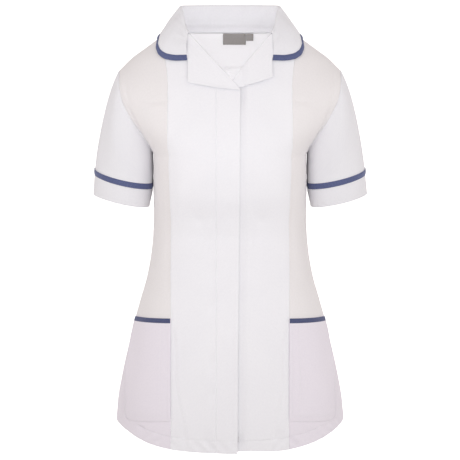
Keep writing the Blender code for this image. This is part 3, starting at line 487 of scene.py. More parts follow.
# %% [markdown]
# The cloth is a polyester and cotton twill: matt, slightly cool white, with fine diagonal lines. Its
# threads are 0.4 mm apart, too fine to show in a picture of the whole tunic, so the twill is drawn at
# 1.6 mm. The pattern reads each piece's own grain map in metres, so it turns with the cloth, as a real
# weave does, and sleeves and collar show a different direction from the fronts.
# %% Materials


def linear(code):
    """sRGB hex to the linear colour that shaders use."""
    parts = [int(code[k:k + 2], 16) / 255 for k in (1, 3, 5)]
    return tuple(p / 12.92 if p <= 0.04045 else ((p + 0.055) / 1.055) ** 2.4 for p in parts) + (1.0,)


def add_node(tree, kind, values=None, links=None, **settings):
    """Adds one node with its settings, its sockets' values and its links from (node, output)."""
    made = tree.nodes.new(kind)
    for key, value in settings.items():
        setattr(made, key, value)
    for socket, value in (values or {}).items():
        made.inputs[socket].default_value = value
    for socket, (other, output) in (links or {}).items():
        tree.links.new(other.outputs[output], made.inputs[socket])
    return made

# %% Woven finishes


def new_look(name, values):
    """A material, its nodes and its shader, whose own sockets are set from a table."""
    look = bpy.data.materials.new(name)
    look.use_nodes = True
    shader = look.node_tree.nodes["Principled BSDF"]
    for socket, value in values.items():
        shader.inputs[socket].default_value = value
    return look, look.node_tree, shader


# Numbered sockets: Mix takes its factor in 0, numbers in 2 and 3 and colours in 6 and 7. Map Range takes
# its value in 0, the limits it comes from in 1 and 2 and those it goes to in 3 and 4.
# One band of the wave texture at scale 1 is this long.
WAVE_LENGTH = 0.314159


def woven(name, light, dark, rough, pitch, lean, relief, sheen=0.0, fleck=0.35):
    """Woven finish on the grain map: yarn lines that lean, pitch apart, flecks of colour and soft clouds."""
    look, tree, shader = new_look(name, {"Roughness": rough, "Sheen Weight": sheen, "Sheen Roughness": 0.5})
    grain = add_node(tree, "ShaderNodeUVMap", uv_map="grain")
    on_grain = {"Vector": (grain, 0)}
    turned = add_node(tree, "ShaderNodeMapping", {"Rotation": (0, 0, lean)}, on_grain)
    bands = {"Scale": WAVE_LENGTH / pitch, "Distortion": 0.6, "Detail": 1.0, "Detail Scale": 2.0}
    lines = add_node(tree, "ShaderNodeTexWave", bands, {"Vector": (turned, 0)}, wave_type="BANDS")
    yarns = add_node(tree, "ShaderNodeTexNoise", {"Scale": 0.45 / pitch, "Detail": 2.0}, on_grain)
    clouds = add_node(tree, "ShaderNodeTexNoise", {"Scale": 9.0, "Detail": 3.0}, on_grain)
    height = add_node(tree, "ShaderNodeMix", {0: 0.45}, {2: (lines, 1), 3: (yarns, 0)})
    mixed = add_node(tree, "ShaderNodeMix", {0: 0.5}, {2: (clouds, 0), 3: (yarns, 0)})
    limits = {1: 0.5 - fleck / 2, 2: 0.5 + fleck / 2}
    flecks = add_node(tree, "ShaderNodeMapRange", limits, {0: (mixed, 0)})
    shades = {6: linear(dark), 7: linear(light)}
    colour = add_node(tree, "ShaderNodeMix", shades, {0: (flecks, 0)}, data_type="RGBA")
    raised = {"Strength": relief, "Distance": pitch * 0.25}
    bump = add_node(tree, "ShaderNodeBump", raised, {"Height": (height, 0)})
    tree.links.new(colour.outputs[2], shader.inputs["Base Color"])
    tree.links.new(bump.outputs[0], shader.inputs["Normal"])
    return look


DIAGONAL = math.radians(27)


def twill(name, light, dark, lean=DIAGONAL):
    """One of five near-equal versions of the tunic's white twill, matt with a faint bloom; the lighter and
    darker copies are painted light and painted shade.
    """
    return woven(name, light, dark, 0.86, 0.0016, lean, 0.10, sheen=0.10)


TWILL = twill("white_polycotton_twill", "#f5f5f9", "#f0f0f5")
# darker, warmer copy of the twill for the side fronts: painted shade where they turn away
SIDE_TWILL_PAINTED_SHADE = twill("white_twill_side_fronts_painted_shade", "#f0edee", "#ebe8e9")
# darker copy of the twill for the sleeves, cuffs and collar: painted shade
SLEEVE_TWILL_PAINTED_SHADE = twill("white_twill_sleeves_collar_painted_shade", "#efeff3", "#eaeaef")
# darker, lilac copy of the twill for the pockets and the side fronts below them: painted shade
POCKET_TWILL_PAINTED_SHADE = twill("white_twill_pockets_painted_shade", "#f0ebf3", "#ebe6ef")
# lighter copy of the twill for the yoke and back, its grain turned the other way: painted light
YOKE_TWILL_PAINTED_LIGHT = twill("white_twill_yoke_painted_light", "#fbfbfd", "#f8f7f9", -DIAGONAL)
THREAD = woven("white_polyester_thread", "#fbfbfd", "#e9e8ee", 0.55, 0.0005, 0.5, 0.15, sheen=0.2)
BRAID = woven("navy_polyester_braid", "#5e6894", "#363f68", 0.78, 0.0011, 0.0, 0.60, sheen=0.15, fleck=0.6)
# darker copy of the braid for the pockets: painted shade
POCKET_BRAID_PAINTED_SHADE = woven("navy_braid_painted_shade", "#4e5680", "#2b3357", 0.78, 0.0011, 0.0, 0.60, sheen=0.12,
                     fleck=0.6)
TAPE = woven("white_zip_tape", "#f1f0f2", "#dddce0", 0.85, 0.0012, math.radians(90), 0.5)
LABEL = woven("grey_satin_label", "#96928f", "#868280", 0.42, 0.0006, math.radians(90), 0.2, sheen=0.1)

# %% Hard finishes


def hard(name, code, rough, metal, scale, relief):
    """Moulded or plated finish: a fine uneven surface and a little colour change from handling."""
    look, tree, shader = new_look(name, {"Metallic": metal})
    place = add_node(tree, "ShaderNodeTexCoord")
    fine = add_node(tree, "ShaderNodeTexNoise", {"Scale": scale, "Detail": 3.0},
                    {"Vector": (place, "Object")})
    share = add_node(tree, "ShaderNodeMapRange", {3: 0.0, 4: 0.25}, {0: (fine, 0)})
    tones = {6: linear(code), 7: linear("#f4f4f4")}
    tone = add_node(tree, "ShaderNodeMix", tones, {0: (share, 0)}, data_type="RGBA")
    worn = add_node(tree, "ShaderNodeMapRange", {3: rough - 0.08, 4: rough + 0.1}, {0: (fine, 0)})
    bump = add_node(tree, "ShaderNodeBump", {"Strength": relief, "Distance": 0.0002}, {"Height": (fine, 0)})
    tree.links.new(tone.outputs[2], shader.inputs["Base Color"])
    tree.links.new(worn.outputs[0], shader.inputs["Roughness"])
    tree.links.new(bump.outputs[0], shader.inputs["Normal"])
    return look


COIL = hard("white_nylon_coil", "#e6e6ea", 0.38, 0.0, 900.0, 0.2)
NICKEL = hard("satin_nickel_plate", "#b9b8b4", 0.30, 1.0, 1500.0, 0.25)
print("materials", len(bpy.data.materials))

# %% [markdown]
# A row of stitches is seen as short raised threads, 3 mm long, with the cloth pulled down between them.
# Each one is a slim lozenge of eight faces, so a few thousand of them cost little.
# %% Stitches
STITCH_PITCH = 0.0032
STITCH_LENGTH = 0.0024
STITCH_HALF = (0.00030, 0.00022)
STITCH_LIFT = 0.0001


def walked(points):
    """Distance walked along a line of points."""
    return np.concatenate([[0], np.cumsum(np.linalg.norm(np.diff(points, axis=0), axis=1))])


def line_at(points, gone, at):
    """Points of a line at distances along it."""
    return np.stack([np.interp(at, gone, column) for column in points.T], axis=-1)


def stitches(name, lines):
    """Lozenges end to end along lines of (points, normals); each line is walked in equal steps."""
    corners, count = [], 0
    for points, normals in lines:
        gone = walked(points)
        at = np.arange(STITCH_PITCH / 2, gone[-1], STITCH_PITCH)
        centre = line_at(points, gone, at)
        up = unit(line_at(normals, gone, at))
        along = unit(line_at(points, gone, at + 0.001) - line_at(points, gone, at - 0.001))
        aside = np.cross(along, up)
        half = along * STITCH_LENGTH / 2
        wide, tall = aside * STITCH_HALF[0], up * STITCH_HALF[1]
        tips = [centre - half, centre + wide, centre + tall, centre - wide, centre - tall, centre + half]
        corners.append(np.stack(tips, axis=1))
        count += len(at)
    points = np.concatenate(corners).reshape(-1, 3)
    near = [(0, 1, 4), (0, 4, 3), (0, 3, 2), (0, 2, 1)]
    far = [(5, 4, 1), (5, 3, 4), (5, 2, 3), (5, 1, 2)]
    faces = (np.arange(count)[:, None, None] * 6 + np.array(near + far)).reshape(-1, 3)
    made = put_in_scene(name, points, faces, THREAD)
    flat = points[faces.ravel()][:, [0, 2]]
    made.data.uv_layers.new(name="grain").data.foreach_set("uv", flat.ravel())
    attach(made, "tunic")
    print(name, count, "stitches")


def along_grid(points, normal, where, lift=STITCH_LIFT):
    """A stitch line that follows one row or column of a grid, lift above it."""
    return points[where] + normal[where] * lift, normal[where]


def on_torso(turn, z, side, mirror, lift):
    """Points and normals of a line that lies on the torso's cloth, lift above it."""
    points, normal = surface(turn, z, side, mirror)
    return points + normal * lift, normal


# %% [markdown]
# The front has four panels. A princess seam runs from each shoulder over the bust to the hem, which
# lets the cloth follow the bust and waist with no darts. Each panel is a grid whose columns run down
# the cloth, closer together where a seam or a stitch line needs sharp relief.
# %% Seam lines of the front
PRINCESS_Z = np.array([
    -0.0235, -0.034, -0.046, -0.060, -0.074, -0.088, -0.102, -0.116, -0.130, -0.146, -0.165,
    -0.185, -0.205, -0.225, -0.247, -0.275, -0.305, -0.335, -0.365, -0.395, -0.425, -0.455,
    -0.488, -0.5195, -0.5295, -0.565, -0.600, -0.635, -0.670, -0.701, -0.7285, -0.7520,
])
CENTRE_Z = np.array([
    0.0, -0.0105, -0.021, -0.036, -0.051, -0.066, -0.080, -0.094, -0.1075, BREAK_POINT_Z, -0.142,
    -0.166, -0.190, -0.215, -0.242, -0.275, -0.305, -0.335, -0.365, -0.395, -0.425, -0.455,
    -0.488, -0.5195, -0.5295, -0.565, -0.600, -0.635, -0.670, -0.703, -0.733, -0.7566,
])
SIDE_Z = np.array([
    -0.085, -0.088, -0.094, -0.103, -0.114, -0.127, -0.141, -0.156, -0.171, -0.186, -0.200,
    -0.213, -0.225, -0.235, -0.254, -0.279, -0.307, -0.335, -0.365, -0.395, -0.425, -0.457,
    -0.490, -0.5285, -0.5385, -0.575, -0.606, -0.636, -0.667, -0.6965, -0.7065, -0.7185,
])
PRINCESS_X = np.array([
    (-0.780, 0.1060), (-0.700, 0.1040), (-0.560, 0.1043), (-0.450, 0.1058), (-0.357, 0.1050),
    (-0.240, 0.1088), (-0.165, 0.1098), (-0.115, 0.1095), (-0.060, 0.1155), (-0.0235, 0.1235),
])
POCKET_X = np.array([
    (-0.780, 0.1500), (-0.718, 0.1740), (-0.702, 0.1850), (-0.680, 0.1898), (-0.650, 0.1895),
    (-0.620, 0.1870), (-0.590, 0.1810), (-0.560, 0.1760), (-0.535, 0.1710), (-0.500, 0.1590),
    (-0.450, 0.1420), (-0.360, 0.1270), (-0.235, 0.1270), (-0.180, 0.1400), (-0.085, 0.1600),
    (-0.0235, 0.1350),
])
# z and x of the soft crease that hangs from each pocket's mouth
CREASE = np.array([
    (-0.760, 0.0740), (-0.748, 0.0763), (-0.690, 0.0850), (-0.675, 0.0890), (-0.645, 0.0940),
    (-0.615, 0.0965), (-0.580, 0.0970), (-0.535, 0.1015),
])
# where rows of the fine grid lie among the table's rows, closer near the hem
ROWS = np.concatenate([np.linspace(0, 28, 230), np.linspace(28, 31, 76)[1:]])
# height of the hem's stitches, and distances from the middle of the fly's and the left tape's stitches
HEM_DEEP = 0.022
STITCH_X = 0.0246
TAPE_X = 0.0112
SIDES = (("right", -1), ("left", 1))

# %% The front's edges and hem


def hem_z(turn):
    """Height of the hem at an angle from either side seam."""
    return look_up(HEM, 1, 90 - np.abs(np.degrees(turn) - 90))


def hem_thick(above):
    """Thickness of a panel by its height above the hem, where the cloth is turned up."""
    return CLOTH_THICK + 0.0004 * ease(above, 0.024, 0.021)


def princess_turn(z):
    """Angle of the princess seam; at its top it reaches the shoulder seam."""
    return turn_at(look_up(PRINCESS_X, 1, z), z, -1) * ease(z, PRINCESS_TOP_Z, PRINCESS_TOP_Z - 0.012)


def front_neck_turn(share):
    """Angle of the front neck seam at a share of its fall, 0 at the shoulder and 1 at the gorge."""
    return turn_at(GORGE[0] + GORGE_OUT, GORGE[1], -1) * np.clip(share, 0, 1) ** 0.75


def centre_turn(z, lap):
    """Angle of the front's inner edge: neck, roll line, then the centre front edge."""
    low_x, low_z = (-FLY_EDGE, BREAK_POINT_Z) if lap else UNDER_BREAK
    fly = -(FLY_EDGE + (FLY_EDGE_HEM - FLY_EDGE) * ease(z, -0.12, -0.75))
    drawn = (UNDER_EDGE - UNDER_BREAK[0]) * ease(z, UNDER_BREAK[1], UNDER_STRAIGHT_Z)
    under = np.where(z > UNDER_STRAIGHT_Z, UNDER_BREAK[0] + drawn, UNDER_EDGE)
    line = GORGE[0] + (low_x - GORGE[0]) * (z - GORGE[1]) / (low_z - GORGE[1])
    x = np.where(z > low_z, line + GORGE_OUT * ease(z, -0.045, -0.021), fly if lap else under)
    return np.where(z >= GORGE[1], front_neck_turn(z / GORGE[1]), turn_at(x, np.minimum(z, -0.001), -1))


def step_in(x, z):
    """Depth by which the under front lies below the fly."""
    return (0.0021 + 0.0023 * ease(z, -0.160, -0.124)) * ease(x, 0.033, 0.021)


def hem_relief(points, turn, z, seed):
    """The hem is turned up twice: a stitched trough above it, and slanting ripples like a twisted rope."""
    above = z - hem_z(turn)
    along = runs(points, 1)[0]
    rope = 0.0009 * np.sin(along / 0.0036 + above / 0.0042 + seed) * bell(above - 0.011, 0.010)
    uneven = 0.5 + 0.5 * np.sin(along / 0.013 + 1.7 * seed + 2 * np.sin(along / 0.031))
    drawn = -0.0026 * np.maximum(pucker(along * 0.45, seed + 2.0), 0) * bell(above - HEM_DEEP - 0.002, 0.011)
    return groove(above - HEM_DEEP, along, seed, 0.0005) + rope * uneven + drawn

# %% Centre fronts


def front_centre(side, mirror, lap, flat, area):
    """Centre front: columns from the princess seam to the stitch line, then to the front edge."""
    first = princess_turn(PRINCESS_Z)
    first = first + turn_gap(first, PRINCESS_Z, -1) * OPEN_SHARE
    last = centre_turn(CENTRE_Z, lap)
    first[0] = last[0] = SHOULDER_TURN
    stitch = turn_at(STITCH_X, CENTRE_Z, -1)
    stitch = np.minimum(stitch, first + (0.86 if lap else 0.80) * (last - first))
    turn = spread([first, stitch, last], (44, 24) if lap else (44, 16))
    share = (turn - first[:, None]) / np.maximum(last - first, 1e-9)[:, None]
    share[0] = np.linspace(0, 1, share.shape[1])
    z = PRINCESS_Z[:, None] + (CENTRE_Z - PRINCESS_Z)[:, None] * share
    z[0, 1:] = PRINCESS_TOP_Z + (CENTRE_Z[0] - PRINCESS_TOP_Z) * share[0, 1:]
    z[0, 0] += 0.0002
    z[-1] = hem_z(turn[-1])
    if not lap:
        z[-1] += 0.0038 * ease(turn[-1], math.radians(66), math.radians(82))
    turn, z = resample(turn, ROWS), resample(z, ROWS)
    points, normal = surface(turn, z, -1, mirror)
    from_seam, from_edge = runs(points, 1)
    down = runs(points, 0)[0]
    x = points[..., 0] * mirror
    closed = ease(z, -0.100, -0.125)
    relief = seam_press(from_seam, down, 1.0 + mirror, ridge=0.8) + hem_relief(points, turn, z, 2.0 + mirror)
    relief += groove(x - (STITCH_X if lap else TAPE_X), down, 3.0 - mirror, 0.0006) * closed
    if lap:
        # the fly's edge swells towards the hem, its stitches draw the cloth, and it is lumpy at the hem
        swell = 0.0004 + 0.0008 * ease(z, -0.30, -0.70)
        relief += swell * bell(from_edge - 0.0020, 0.0050) * closed
        drawn = np.minimum(pucker(down * 0.33, 5.0), 0.2) * (0.7 + 0.5 * ease(z, -0.40, -0.70))
        relief += 0.0018 * drawn * bell(x - STITCH_X - 0.008, 0.008) * closed
        lumps = pucker(down * 0.41, 8.0) * pucker(x * 0.5 + 0.01, 1.0) * ease(z, -0.66, -0.60)
        relief += 0.0011 * lumps * bell(x - STITCH_X + 0.016, 0.012) * closed
    crease = 0.0006 * bell(x - look_up(CREASE, 1, z) + 0.007, 0.0050)
    crease -= 0.0008 * bell(x - look_up(CREASE, 1, z), 0.0026)
    relief += crease * ease(z, -0.530, -0.550)
    relief = np.where(closed < 0.01, np.minimum(relief, 0.0001), relief)
    points = points + normal * relief[..., None]
    if not lap:
        sunk = step_in(x, z) + 0.0006 * ease(x, 0.026, 0.016) * ease(z, -0.30, -0.70)
        points = points - normal * sunk[..., None]
    sew(f"front_{side}_centre", points, grid_normals_out(points, normal), TWILL, flat, area,
        thick=hem_thick(z - hem_z(turn)))


front_centre("right", -1, True, (0.150, 0.790), 0.095)
front_centre("left", 1, False, (0.130, 0.790), 0.080)

# %% [markdown]
# The side front runs from the princess seam to the armhole and side seam. It flares over the hip. The
# patch pocket is cut to the same shape, so it is made from the panel's own points, moved out: the two
# layers then follow each other over every fold, as sewn cloth does. Below the pocket's mouth the panel
# takes the pocket's darker twill, a painted shade, and the change is hidden under the braid.
# %% Side fronts
POCKET_ROWS = (23.0, 29.0)
POCKET_MOUTH_Z = -0.526
# columns of the panel between its three lines, and of the pocket alone
SIDE_COLUMNS = (40, 26)
POCKET_COLUMNS = (46,)


def side_front(mirror, counts, rows, pocket_only=False):
    """Points of the side front for rows of the table and columns from the princess seam outwards."""
    first = princess_turn(PRINCESS_Z)
    first = first - turn_gap(first, PRINCESS_Z, -1) * OPEN_SHARE
    side = np.where(SIDE_Z > ARMPIT_Z, armhole_turn(SIDE_Z, -1), 0.0)
    last = side + turn_gap(side, SIDE_Z, -1) * OPEN_SHARE
    first[0] = last[0] = SHOULDER_TURN
    middle_z = PRINCESS_Z * 0.4 + SIDE_Z * 0.6
    middle = turn_at(look_up(POCKET_X, 1, middle_z), middle_z, -1)
    middle = np.clip(middle, last + 0.22 * (first - last), last + 0.62 * (first - last))
    knots = [first, middle] if pocket_only else [first, middle, last]
    turn = spread(knots, counts)
    share = (first[:, None] - turn) / np.maximum(first - last, 1e-9)[:, None]
    share[0] = np.linspace(0, 1, turn.shape[1])
    z = PRINCESS_Z[:, None] + (SIDE_Z - PRINCESS_Z)[:, None] * share
    z[0, 0] -= 0.0002
    # the last rows follow the hem, which drops from the side seam towards the front
    low, lower = np.degrees(turn[-2]), np.degrees(turn[-3])
    z[-1] = hem_z(turn[-1])
    z[-2] = hem_z(turn[-2]) + np.interp(low, [0, 36, 62], [0.012, 0.016, 0.0235])
    z[-3] = np.interp(lower, [0, 20, 36, 50, 62], [-0.6965, -0.7015, -0.7080, -0.7050, -0.7010])
    turn, z = resample(turn, rows), resample(z, rows)
    return *surface(turn, z, -1, mirror), turn, z


def paint_shade_below(made, look, level):
    """Faces whose middle lies below a height take a second, darker finish of the cloth: painted shade."""
    made.data.materials.append(look)
    middles = np.empty(3 * len(made.data.polygons))
    made.data.polygons.foreach_get("center", middles)
    made.data.polygons.foreach_set("material_index", (middles[2::3] < level).astype(np.int32))

# %% Side fronts with their seams and creases


def side_panel(side, mirror):
    """Side front with its seams, hem and creases; under the pocket it stays smooth."""
    points, normal, turn, z = side_front(mirror, SIDE_COLUMNS, ROWS)
    from_seam, from_side = runs(points, 1)
    down = runs(points, 0)[0]
    free = 1 - ease(ROWS, 22.2, 22.9)[:, None] * (1 - ease(ROWS, 29.3, 30.2))[:, None]
    relief = seam_press(from_seam, down, 4.0 + mirror, ridge=0.2) * free
    relief += seam_press(from_side, down, 6.0 + mirror, ridge=0.6)
    relief += hem_relief(points, turn, z, 1.0 - mirror) * ease(ROWS, 29.2, 29.9)[:, None]
    # trough outside the pocket's outer edge, and below it along the princess seam
    off = from_seam - from_seam[:, SIDE_COLUMNS[0]][:, None] - 0.0024
    relief -= 0.0030 * bell(off, 0.0032) * (ease(ROWS, 23.5, 24.5) * ease(ROWS, 29.6, 28.9))[:, None]
    relief -= 0.0006 * bell(from_seam - 0.006, 0.005) * ease(z, -0.24, -0.28) * free
    # deep trough at the armhole's foot and a narrow one higher up
    foot = (0.0028 + 0.0012 * ease(z, -0.175, -0.205)) * ease(z, -0.140, -0.165) * ease(z, -0.236, -0.220)
    relief -= foot * bell(from_side - 0.0075, 0.0060)
    upper = ease(z, -0.088, -0.100) * ease(z, -0.150, -0.130)
    relief -= 0.0010 * bell(from_side - 0.014, 0.003) * upper
    # crease across the seam above the bust, with a ridge below it
    slant = z + 0.1390 + 0.1 * (from_seam - 0.02)
    relief -= 0.0013 * bell(slant, 0.0035) * bell(from_seam - 0.018, 0.016)
    relief += 0.0016 * bell(z + 0.1490, 0.0055) * bell(from_seam - 0.018, 0.018)
    relief = np.where(free < 0.5, np.minimum(relief, 0.0001), relief)
    points = points + normal * relief[..., None]
    made = sew(f"front_{side}_side", points, grid_normals_out(points, normal), SIDE_TWILL_PAINTED_SHADE, (0.195, 0.735),
               0.098, thick=hem_thick(z - hem_z(turn)))
    # below the pocket's mouth the panel is painted in the pocket's darker shade
    paint_shade_below(made, POCKET_TWILL_PAINTED_SHADE, POCKET_MOUTH_Z)


for side, mirror in SIDES:
    side_panel(side, mirror)

# %% [markdown]
# A patch pocket is a panel laid on the cloth, stitched close to its edges and hemmed along its mouth.
# The braid lies over the mouth. Braid is thicker in its middle and its edges are sewn down, so its
# section is a low crown with a fine raised line, and its ribs run across it.
# %% Pockets and their braid


def crown(t):
    """Section of the braid at t from 0 to 1 across it: a low arch, a raised middle line, sewn edges."""
    arch = 1 - np.abs(2 * t - 1) ** 3
    sewn = bell(t - 0.13, 0.05) + bell(t - 0.87, 0.05)
    return 0.00045 * arch + 0.00016 * bell(t - 0.5, 0.07) - 0.00018 * sewn


def pocket(side, mirror):
    """Pocket on the side front's points, raised; its lower corner is rounded by the panel's own line."""
    rows = np.linspace(POCKET_ROWS[0] + 0.22, POCKET_ROWS[1], 86)
    points, normal = side_front(mirror, POCKET_COLUMNS, rows, pocket_only=True)[:2]
    inner, outer = runs(points, 1)
    top, low = runs(points, 0)
    rim = np.minimum(np.minimum(inner, outer), low)
    relief = 0.0004 * ease(rim, 0.0, 0.0022) + groove(rim - 0.0075, inner + top, 7.0 + mirror, 0.0003)
    relief -= 0.0009 * bell(low, 0.008)
    relief += 0.0005 * bell(top - 0.052, 0.018) * bell(inner - 0.035, 0.030)
    relief += 0.0003 * pucker(top * 0.5, 2.0 + mirror) * bell(rim, 0.012)
    # the outer edge stands off a little below the mouth
    gape = 0.0030 * bell(outer, 0.014) * bell(top - 0.085, 0.050)
    cloth = points + normal * (LAYER_GAP + 0.0011 + relief + gape)[..., None]
    sew(f"pocket_{side}", cloth, normal, POCKET_TWILL_PAINTED_SHADE, (0.125, 0.250), 0.0245, thick=0.0010 + relief * 0.8)
    for edge, lines in (("inner", (4, 10)), ("outer", (-6,))):
        run = [along_grid(cloth, normal, np.s_[6:-5, k]) for k in lines]
        stitches(f"pocket_{side}_{edge}_stitches", run)
    stitches(f"pocket_{side}_low_stitches", [along_grid(cloth, normal, np.s_[-6, 4:-5])])


def pocket_braid(side, mirror):
    """Braid on the pocket's upper rows, raised by its section."""
    rows = np.linspace(POCKET_ROWS[0] + 0.18, POCKET_ROWS[0] + 1.02, 13)
    points, normal = side_front(mirror, POCKET_COLUMNS, rows, pocket_only=True)[:2]
    points, normal = points[:, :-5], normal[:, :-5]
    t = np.linspace(0, 1, 13)[:, None] + 0 * points[..., 0]
    rise = LAYER_GAP + 0.0018 + crown(t)
    sew(f"pocket_trim_{side}", points + normal * rise[..., None], normal, POCKET_BRAID_PAINTED_SHADE, (0.110, 0.020),
        0.0011, "braid", thick=0.0006 + crown(t))


for side, mirror in SIDES:
    pocket(side, mirror)
    pocket_braid(side, mirror)

# %% [markdown]
# The back has a yoke across the shoulders, which carries the weight and hides the shaping at its seam,
# and one broad panel below. The yoke's seam is seen inside the open neck.
# %% Yoke and back
BESIDE_ARM = [YOKE_SIDE_Z, -0.130, -0.146, -0.164, -0.182, -0.200, -0.217, ARMPIT_Z]
BACK_Z = np.concatenate([BESIDE_ARM, SIDE_Z[14:]])
YOKE_STITCH = 0.0055


def yoke_side_turn():
    """Angle at which the yoke seam meets the back armhole."""
    turn = float(armhole_turn(YOKE_SIDE_Z, 1))
    return turn + float(turn_gap(turn, YOKE_SIDE_Z, 1))


def yoke_seam_z(turn):
    """Height of the yoke seam: level in the middle, lower towards the armholes."""
    across = np.abs((turn - math.pi / 2) / (math.pi / 2 - yoke_side_turn()))
    return YOKE_SEAM_Z + (YOKE_SIDE_Z - YOKE_SEAM_Z) * across ** 2.2


def neck_z(turn):
    """Height of the back neck seam: level across the nape, rising to the sides of the neck."""
    return -0.019 * (1 - (1 - np.sin(turn)) ** 3)

# %% Yoke


def back_yoke():
    """Columns across from armhole to armhole, rows from the neck and shoulders down to the seam."""
    shoulder_z = np.linspace(TIP_Z, 0.0, 31)
    neck_turn = np.linspace(0, math.pi, 71)[1:-1]
    shoulder_turn = np.full(len(shoulder_z), SHOULDER_TURN)
    top_turn = np.concatenate([shoulder_turn, neck_turn, math.pi - shoulder_turn])
    top_z = np.concatenate([shoulder_z, neck_z(neck_turn), shoulder_z[::-1]])
    low_turn = yoke_side_turn() + (math.pi - 2 * yoke_side_turn()) * np.linspace(0, 1, len(top_turn))
    low_z = yoke_seam_z(low_turn) + HALF_GAP * OPEN_SHARE
    v = crowded(34)[:, None]
    turn = (top_turn + (low_turn - top_turn) * v).T
    z = (top_z + (low_z - top_z) * v).T
    # each half's columns are held inside the armhole, or they would pass through the sleeve
    middle = len(turn) // 2
    arm = armhole_turn(z[:middle], 1)
    edge = np.maximum(arm + turn_gap(arm, z[:middle], 1), SHOULDER_TURN)
    edge = edge + 0.0004 * np.arange(middle)[:, None]
    turn[1:middle] = np.maximum(turn[1:middle], edge[1:])
    turn[0] = edge[0]
    turn[middle + 1:] = math.pi - turn[:middle][::-1]
    points, normal = surface(turn, z, 1)
    below = runs(points, 1)[1]
    along = runs(points, 0)[0]
    relief = seam_press(below, along, 1.3, ridge=1.2) + groove(below - YOKE_STITCH, along, 2.1)
    points = points + normal * relief[..., None]
    normal = grid_normals_out(points, normal)
    sew("back_yoke", points, normal, YOKE_TWILL_PAINTED_LIGHT, (0.440, 0.130), 0.045,
        thick=CLOTH_THICK + 0.0012 * ease(below, 0.0045, 0.0015))
    k = nearest(below[middle], YOKE_STITCH)
    return points[6:-6, k], normal[6:-6, k]

# %% Back


def back():
    """Columns run down from the yoke seam to the hem, and across from armhole to armhole."""
    edge = np.where(BACK_Z > ARMPIT_Z, armhole_turn(BACK_Z, 1), 0.0)
    edge = edge + turn_gap(edge, BACK_Z, 1)
    share = np.linspace(0, 1, 131)
    even = math.radians(27) * (1 - ease(BACK_Z, -0.130, -0.330))
    near = (1 - 2 * np.minimum(share, 1 - share)) ** 5 * np.sign(0.5 - share)
    turn = (even[:, None] + (math.pi - 2 * even[:, None]) * share + (edge - even)[:, None] * near).T
    top = yoke_seam_z(turn[:, 0]) - HALF_GAP * OPEN_SHARE
    fall = (BACK_Z - BACK_Z[0]) / (BACK_Z[-1] - BACK_Z[0])
    z = top[:, None] + (hem_z(turn[:, -1]) - top)[:, None] * fall
    z[0] = z[-1] = BACK_Z
    last = len(BACK_Z) - 1
    place = np.concatenate([np.linspace(0, 1, 15)[:-1], np.linspace(1, last - 3, 130)[:-1],
                            np.linspace(last - 3, last, 56)])
    turn, z = resample(turn.T, place).T, resample(z.T, place).T
    points, normal = surface(turn, z, 1)
    above = runs(points, 1)[0]
    along, rest = runs(points, 0)
    over_hem = z - hem_z(turn)
    rope = 0.00035 * np.sin(along / 0.0036 + over_hem / 0.0042) * bell(over_hem - 0.011, 0.010)
    relief = seam_press(above, along, 3.3, ridge=0.3) + groove(over_hem - HEM_DEEP, along, 1.9) + rope
    relief += seam_press(along, above, 0.7, ridge=0.5) + seam_press(rest, above, 5.7, ridge=0.5)
    points = points + normal * relief[..., None]
    turned = 0.0012 * ease(above, 0.0014, 0.0026) * ease(above, 0.0110, 0.0090)
    sew("back", points, grid_normals_out(points, normal), YOKE_TWILL_PAINTED_LIGHT, (0.590, 0.690), 0.320,
        thick=hem_thick(over_hem) + turned)


yoke_line, yoke_normal = back_yoke()
back()
inside = [(yoke_line - yoke_normal * (CLOTH_THICK + STITCH_LIFT), -yoke_normal)]
stitches("yoke_stitches", [(yoke_line, yoke_normal)] + inside)

# %% [markdown]
# A set-in sleeve is a tube that starts at the armhole's oval and ends in a smaller, tilted ring. Each
# column is a cubic curve that leaves the shoulder outwards and then falls. The cuff band is the turned
# end of the sleeve, and the braid covers their seam.
# %% Sleeves, cuffs and their braid
# rings: x of the middle, half widths in x and y, height of the middle, rise per metre outwards and backwards
SLEEVE_END = (0.1912, 0.0536, 0.0560, -0.2793, 0.2286, 0.110)
CUFF_HEM = (0.1972, 0.0510, 0.0550, -0.3195, 0.2300, 0.050)
AROUND = 132
ANGLE = math.pi + np.arange(AROUND) * 2 * math.pi / AROUND
# the sleeve starts this far outside the armhole's seam, and keeps this far off the body
SEAM_OUT = 0.0011
SLEEVE_CLEAR = 0.0006
CUFF_STITCH = 0.0050
# angle round the sleeve in degrees (0 outward, 90 front), place down it, widths, height, lean
SLEEVE_FOLDS = (
    (118, 0.52, 26, 0.22, -0.0016, 30), (84, 0.60, 17, 0.30, 0.0013, 26), (52, 0.70, 15, 0.26, -0.0011, 18),
    (20, 0.80, 16, 0.24, 0.0011, 10), (-22, 0.72, 18, 0.30, -0.0013, -14), (-60, 0.62, 17, 0.30, 0.0015, -22),
    (-98, 0.55, 18, 0.26, -0.0016, -28), (-132, 0.60, 16, 0.24, 0.0012, -20),
    (148, 0.70, 14, 0.22, 0.0010, 12),
    (66, 0.14, 12, 0.12, 0.0009, 0), (32, 0.10, 12, 0.10, -0.0007, 0), (-40, 0.12, 12, 0.12, 0.0009, 0),
    (-74, 0.16, 12, 0.12, -0.0008, 0),
)

# %% The sleeve's curves


def two_sided(function, signed_turn, z):
    """A front or back surface function, chosen by the angle's sign."""
    front, rear = function(np.abs(signed_turn), z, -1), function(np.abs(signed_turn), z, 1)
    return np.where((signed_turn >= 0)[..., None], front, rear)


def ring(shape, angle, lift=0.0):
    """Tilted ellipse round the sleeve; angle 0 is outward, a quarter turn is the front."""
    x0, rx, ry, z0, out, back_up = shape
    x = x0 + rx * np.cos(angle)
    y = -ry * np.sin(angle)
    return np.stack([x, y, z0 + out * (x - x0) + back_up * y + lift], axis=-1)


